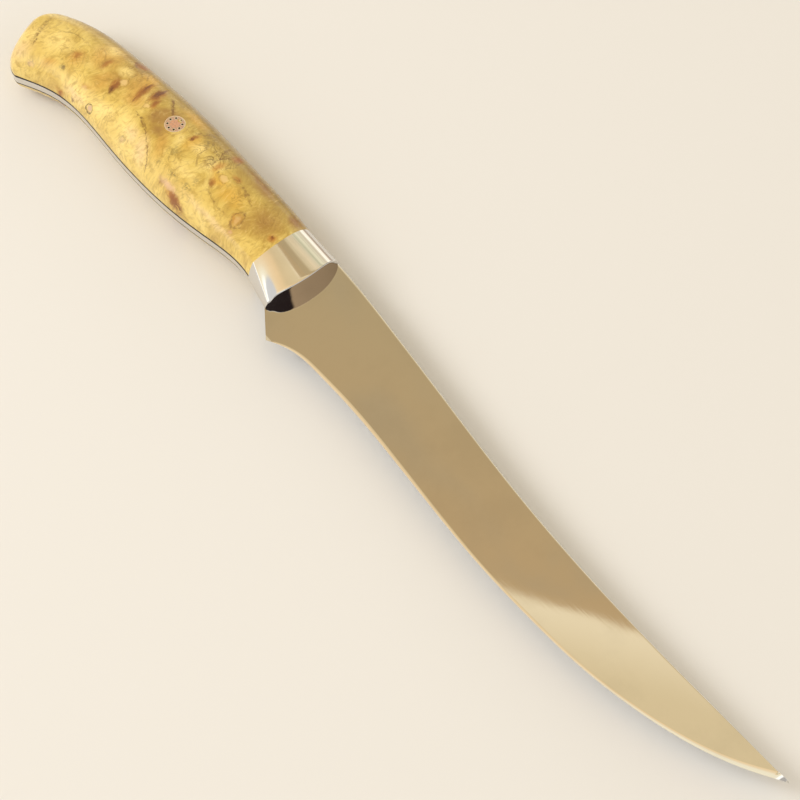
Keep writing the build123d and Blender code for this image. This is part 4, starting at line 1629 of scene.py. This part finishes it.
@dataclass
class Studio:
    """Pale floor, soft lights and the camera."""

    camera_place: tuple = (0.509146, -0.284070, 0.828052)
    camera_right: tuple = (0.607815, 0.788133, -0.096991)
    camera_up: tuple = (-0.618088, 0.546245, 0.565317)
    camera_back: tuple = (0.498525, -0.283659, 0.819152)
    lens: float = 162.18
    sensor_width: float = 36.0
    near_limit: float = 0.05
    floor_colour: tuple = (0.80, 0.79, 0.775)
    floor_roughness: float = 0.9
    floor_reach: float = 6.0
    floor_drop: float = 0.0001
    strip_across: tuple = (0.3375, -0.8596, 0.3837)
    strip_along: tuple = (0.8346, 0.4618, 0.3003)
    wave_scale: float = 75.0
    wave_reach: float = 0.0022
    strips_reach: float = 0.4
    strips_fade: float = 0.2
    dome_stops: tuple = (
        (0.0, (0.30, 0.30, 0.30, 1)),
        (0.35, (0.42, 0.42, 0.42, 1)),
        (0.6, (0.80, 0.80, 0.79, 1)),
        (1.0, (0.95, 0.95, 0.94, 1)),
    )
    board_stops: tuple = (
        (0.03, (0.50, 0.40, 0.33, 1)),
        (0.08, (0.72, 0.58, 0.46, 1)),
        (0.11, (1.50, 1.40, 1.20, 1)),
        (0.17, (1.50, 1.42, 1.20, 1)),
        (0.19, (0.85, 0.74, 0.55, 1)),
        (0.25, (0.98, 0.90, 0.66, 1)),
        (0.30, (1.05, 0.98, 0.70, 1)),
        (0.335, (0.74, 0.72, 0.50, 1)),
        (0.37, (0.92, 0.80, 0.55, 1)),
        (0.41, (1.00, 0.82, 0.54, 1)),
        (0.445, (0.92, 0.76, 0.48, 1)),
        (0.46, (0.60, 0.46, 0.25, 1)),
        (0.47, (0.60, 0.46, 0.25, 1)),
        (0.50, (0.655, 0.46, 0.235, 1)),
    )
    lamp_stops: tuple = (
        (0.50, (0.93, 0.76, 0.46, 1)),
        (0.55, (0.90, 0.70, 0.40, 1)),
        (0.59, (1.08, 0.80, 0.45, 1)),
        (0.65, (1.14, 0.87, 0.52, 1)),
        (0.71, (1.16, 0.96, 0.64, 1)),
        (0.76, (1.22, 1.14, 0.88, 1)),
        (0.79, (1.60, 1.56, 1.46, 1)),
        (0.83, (1.60, 1.58, 1.50, 1)),
        (0.87, (0.60, 0.58, 0.55, 1)),
    )
    edge_glow: tuple = (1.12, 0.95, 0.64, 1)
    edge_glow_reach: float = 0.020
    edge_place: float = 0.0017
    edge_softness: float = 0.0002
    streak_scale: tuple = (30, 60, 30)
    streak_colour: tuple = (0.52, 0.42, 0.26, 1)
    shelf_stops: tuple = (
        (0.45, (0.36, 0.26, 0.15, 1)),
        (0.60, (0.50, 0.36, 0.22, 1)),
        (0.755, (0.58, 0.42, 0.26, 1)),
        (0.765, (0.03, 0.02, 0.02, 1)),
        (0.90, (0.04, 0.03, 0.03, 1)),
    )

    def floor(self) -> None:
        """A large plain floor under the knife."""
        material, _, _, shader = blank_material("pale_floor")
        shader.inputs["Base Color"].default_value = (*self.floor_colour, 1)
        shader.inputs["Roughness"].default_value = self.floor_roughness
        data = bpy.data.meshes.new("floor")
        reach, low = self.floor_reach, -self.floor_drop
        corners = [(-reach, -reach, low), (reach, -reach, low), (reach, reach, low), (-reach, reach, low)]
        data.from_pydata(corners, [], [[0, 1, 2, 3]])
        data.materials.append(material)
        floor = bpy.data.objects.new("floor", data)
        bpy.context.scene.collection.objects.link(floor)

    def world(self) -> None:
        """A soft studio sky that the steel mirrors.

        The sky is a plain dome, darker towards the spine's side. Panels lie over its middle in strips
        that all run the same way, so that one number, how far a direction lies across the strips,
        gives each strip's colour. One strip is a tan board with a wavy edge, and a dark shelf stands
        beyond the strips' end, high over the tip.
        """
        world = bpy.data.worlds.new("studio")
        bpy.context.scene.world = world
        world.use_nodes = True
        nodes, links = world.node_tree.nodes, world.node_tree.links
        painter = Painter(nodes, links)
        direction = nodes.new("ShaderNodeTexCoord").outputs["Generated"]
        straight = painter.measure("DOT_PRODUCT", direction, self.strip_across)
        along = painter.measure("DOT_PRODUCT", direction, self.strip_along)
        height = painter.measure("DOT_PRODUCT", direction, (0, 0, 1))
        waves = painter.math("SUBTRACT", painter.noise(direction, self.wave_scale, 1.5), 0.5)
        across = painter.math("MULTIPLY_ADD", waves, self.wave_reach, straight)
        place = painter.math("MULTIPLY_ADD", across, 0.5, 0.5)
        dome = painter.ramp(place, self.dome_stops)
        near = painter.math("ABSOLUTE", along)
        inside = painter.step(near, self.strips_reach + self.strips_fade, self.strips_reach)
        glow = painter.step(across, self.edge_glow_reach, 0.0)
        lamp_side = painter.mix(glow, painter.ramp(place, self.lamp_stops), self.edge_glow)
        past_edge = painter.step(across, self.edge_place, self.edge_place + self.edge_softness)
        strips = painter.mix(past_edge, painter.ramp(place, self.board_stops), lamp_side)
        sky = painter.mix(inside, dome, strips)
        streaks = painter.noise(painter.vector("MULTIPLY", direction, self.streak_scale), 1.0, 3.0)
        on_board = painter.math("MULTIPLY", painter.step(across, 0.0, -0.001), inside)
        greyed = painter.math("MULTIPLY", painter.step(streaks, 0.45, 0.7, 0.0, 0.45), on_board)
        sky = painter.mix(greyed, sky, self.streak_colour)
        beyond = painter.math("MULTIPLY", painter.step(along, 0.50, 0.56), painter.step(height, 0.62, 0.70))
        sky = painter.mix(beyond, sky, painter.ramp(place, self.shelf_stops))
        links.new(sky, nodes["Background"].inputs["Color"])

    def lamp(self, name: str, place: tuple, size: float, power: float, colour: tuple) -> None:
        """A soft square lamp that points at the knife.

        Args:
            name: name of the lamp.
            place: where it hangs, in metres.
            size: its width.
            power: its power in watts.
            colour: its colour.
        """
        data = bpy.data.lights.new(name, "AREA")
        data.size = size
        data.energy = power
        data.color = colour
        lamp = bpy.data.objects.new(name, data)
        lamp.visible_glossy = False
        lamp.location = place
        lamp.rotation_mode = "QUATERNION"
        lamp.rotation_quaternion = Vector(place).to_track_quat("Z", "Y")
        bpy.context.scene.collection.objects.link(lamp)

    def camera(self) -> None:
        """The camera at the photograph's angle."""
        data = bpy.data.cameras.new("camera")
        data.lens = self.lens
        data.sensor_width = self.sensor_width
        data.clip_start = self.near_limit
        camera = bpy.data.objects.new("camera", data)
        turned = Matrix((self.camera_right, self.camera_up, self.camera_back)).transposed()
        camera.matrix_world = Matrix.Translation(self.camera_place) @ turned.to_4x4()
        bpy.context.scene.collection.objects.link(camera)
        bpy.context.scene.camera = camera

    def build(self) -> None:
        """Makes the whole set."""
        self.floor()
        self.world()
        self.lamp("key", (-0.76, -0.91, 1.07), 0.7, 11.0, (1.0, 0.98, 0.95))
        self.lamp("fill", (0.9, 0.3, 1.3), 1.4, 2.5, (1.0, 0.99, 0.97))
        self.camera()
        bpy.context.scene.view_settings.view_transform = "Standard"


def main() -> None:
    """Builds every piece, puts it on the frame and reports it."""
    logging.basicConfig(level=logging.INFO, format="%(message)s")
    placement = Placement()
    handle = HandleShape()
    bolster = BolsterShape(handle)
    steel = Polish("blade_steel_polish", (0.72, 0.70, 0.67), 0.018, 0.012, line_depth=0.004).material()
    bolster_metal = Polish("bolster_polish", (0.76, 0.74, 0.71), 0.05, 0.02, line_depth=0.006).material()
    fibre = Grained("liner_fibre_dark", shade(30, 26, 22), shade(52, 46, 40), 0.55).material()
    tube_metal = Polish("pin_tube_silver", (0.84, 0.70, 0.55), 0.42).material()
    copper = Polish("pin_copper_bright", (0.84, 0.50, 0.38), 0.42).material()
    hidden_steel = Polish("hidden_pin_steel_brushed", (0.62, 0.61, 0.60), 0.30).material()
    wood = Wood("burl_wood_satin", placement).material()

    right_scale = WoodenScale(handle, Side.RIGHT)
    pin_shares = (0.453, 0.113)
    pin = MosaicPin(right_scale.surface(), handle.place(*pin_shares))
    resin = PinFilling("pin_filling_pale", placement, pin).material()
    left_scale = WoodenScale(handle, Side.LEFT)
    skins = [Bolster(bolster, side).mesh() for side in (Side.RIGHT, Side.LEFT)]
    liner_levels = (1.2, 1.5, 1.8)
    liner = LevelStack(handle, liner_levels).mesh()
    body = SteelBody(handle, bolster).mesh()
    jobs = [
        ("blade_with_tang", body, steel, "blade_steel", ["blade_and_tang"]),
        ("wood_right", right_scale.mesh(), wood, "burl_wood", ["handle_scale_right"]),
        ("wood_left", left_scale.mesh(), wood, "burl_wood", ["handle_scale_left"]),
        ("bolster_skin_right", skins[0], bolster_metal, "bolster_steel", ["bolster_right", "bolster_pins"]),
        ("bolster_skin_left", skins[1], bolster_metal, "bolster_steel", ["bolster_left"]),
        ("liner_sheet_right", liner, fibre, "liner_fibre", ["liner_right"]),
        ("liner_sheet_left", liner.mirrored(), fibre, "liner_fibre", ["liner_left"]),
        ("pin_tube", pin.tube(), tube_metal, "pin_tube_metal", ["mosaic_pin_tube"]),
        ("pin_ring_tubes", pin.ring_tubes(), tube_metal, "pin_tube_metal", ["mosaic_ring_tubes"]),
        ("pin_rods", pin.rods(), copper, "pin_copper", ["mosaic_center_rods"]),
        ("pin_resin", pin.resin(), resin, "pin_resin", ["mosaic_resin"]),
    ]
    for name, mesh, material, slot, nodes in jobs:
        piece = placement.build(name, mesh, material)
        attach(piece, "root")
        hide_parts(*nodes)
        log.info("%s: %d faces", name, len(piece.data.polygons))
    blind_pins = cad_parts["blind_pins"]
    blind_pins.data.materials.clear()
    blind_pins.data.materials.append(hidden_steel)
    Studio().build()


if __name__ == "__main__":
    main()
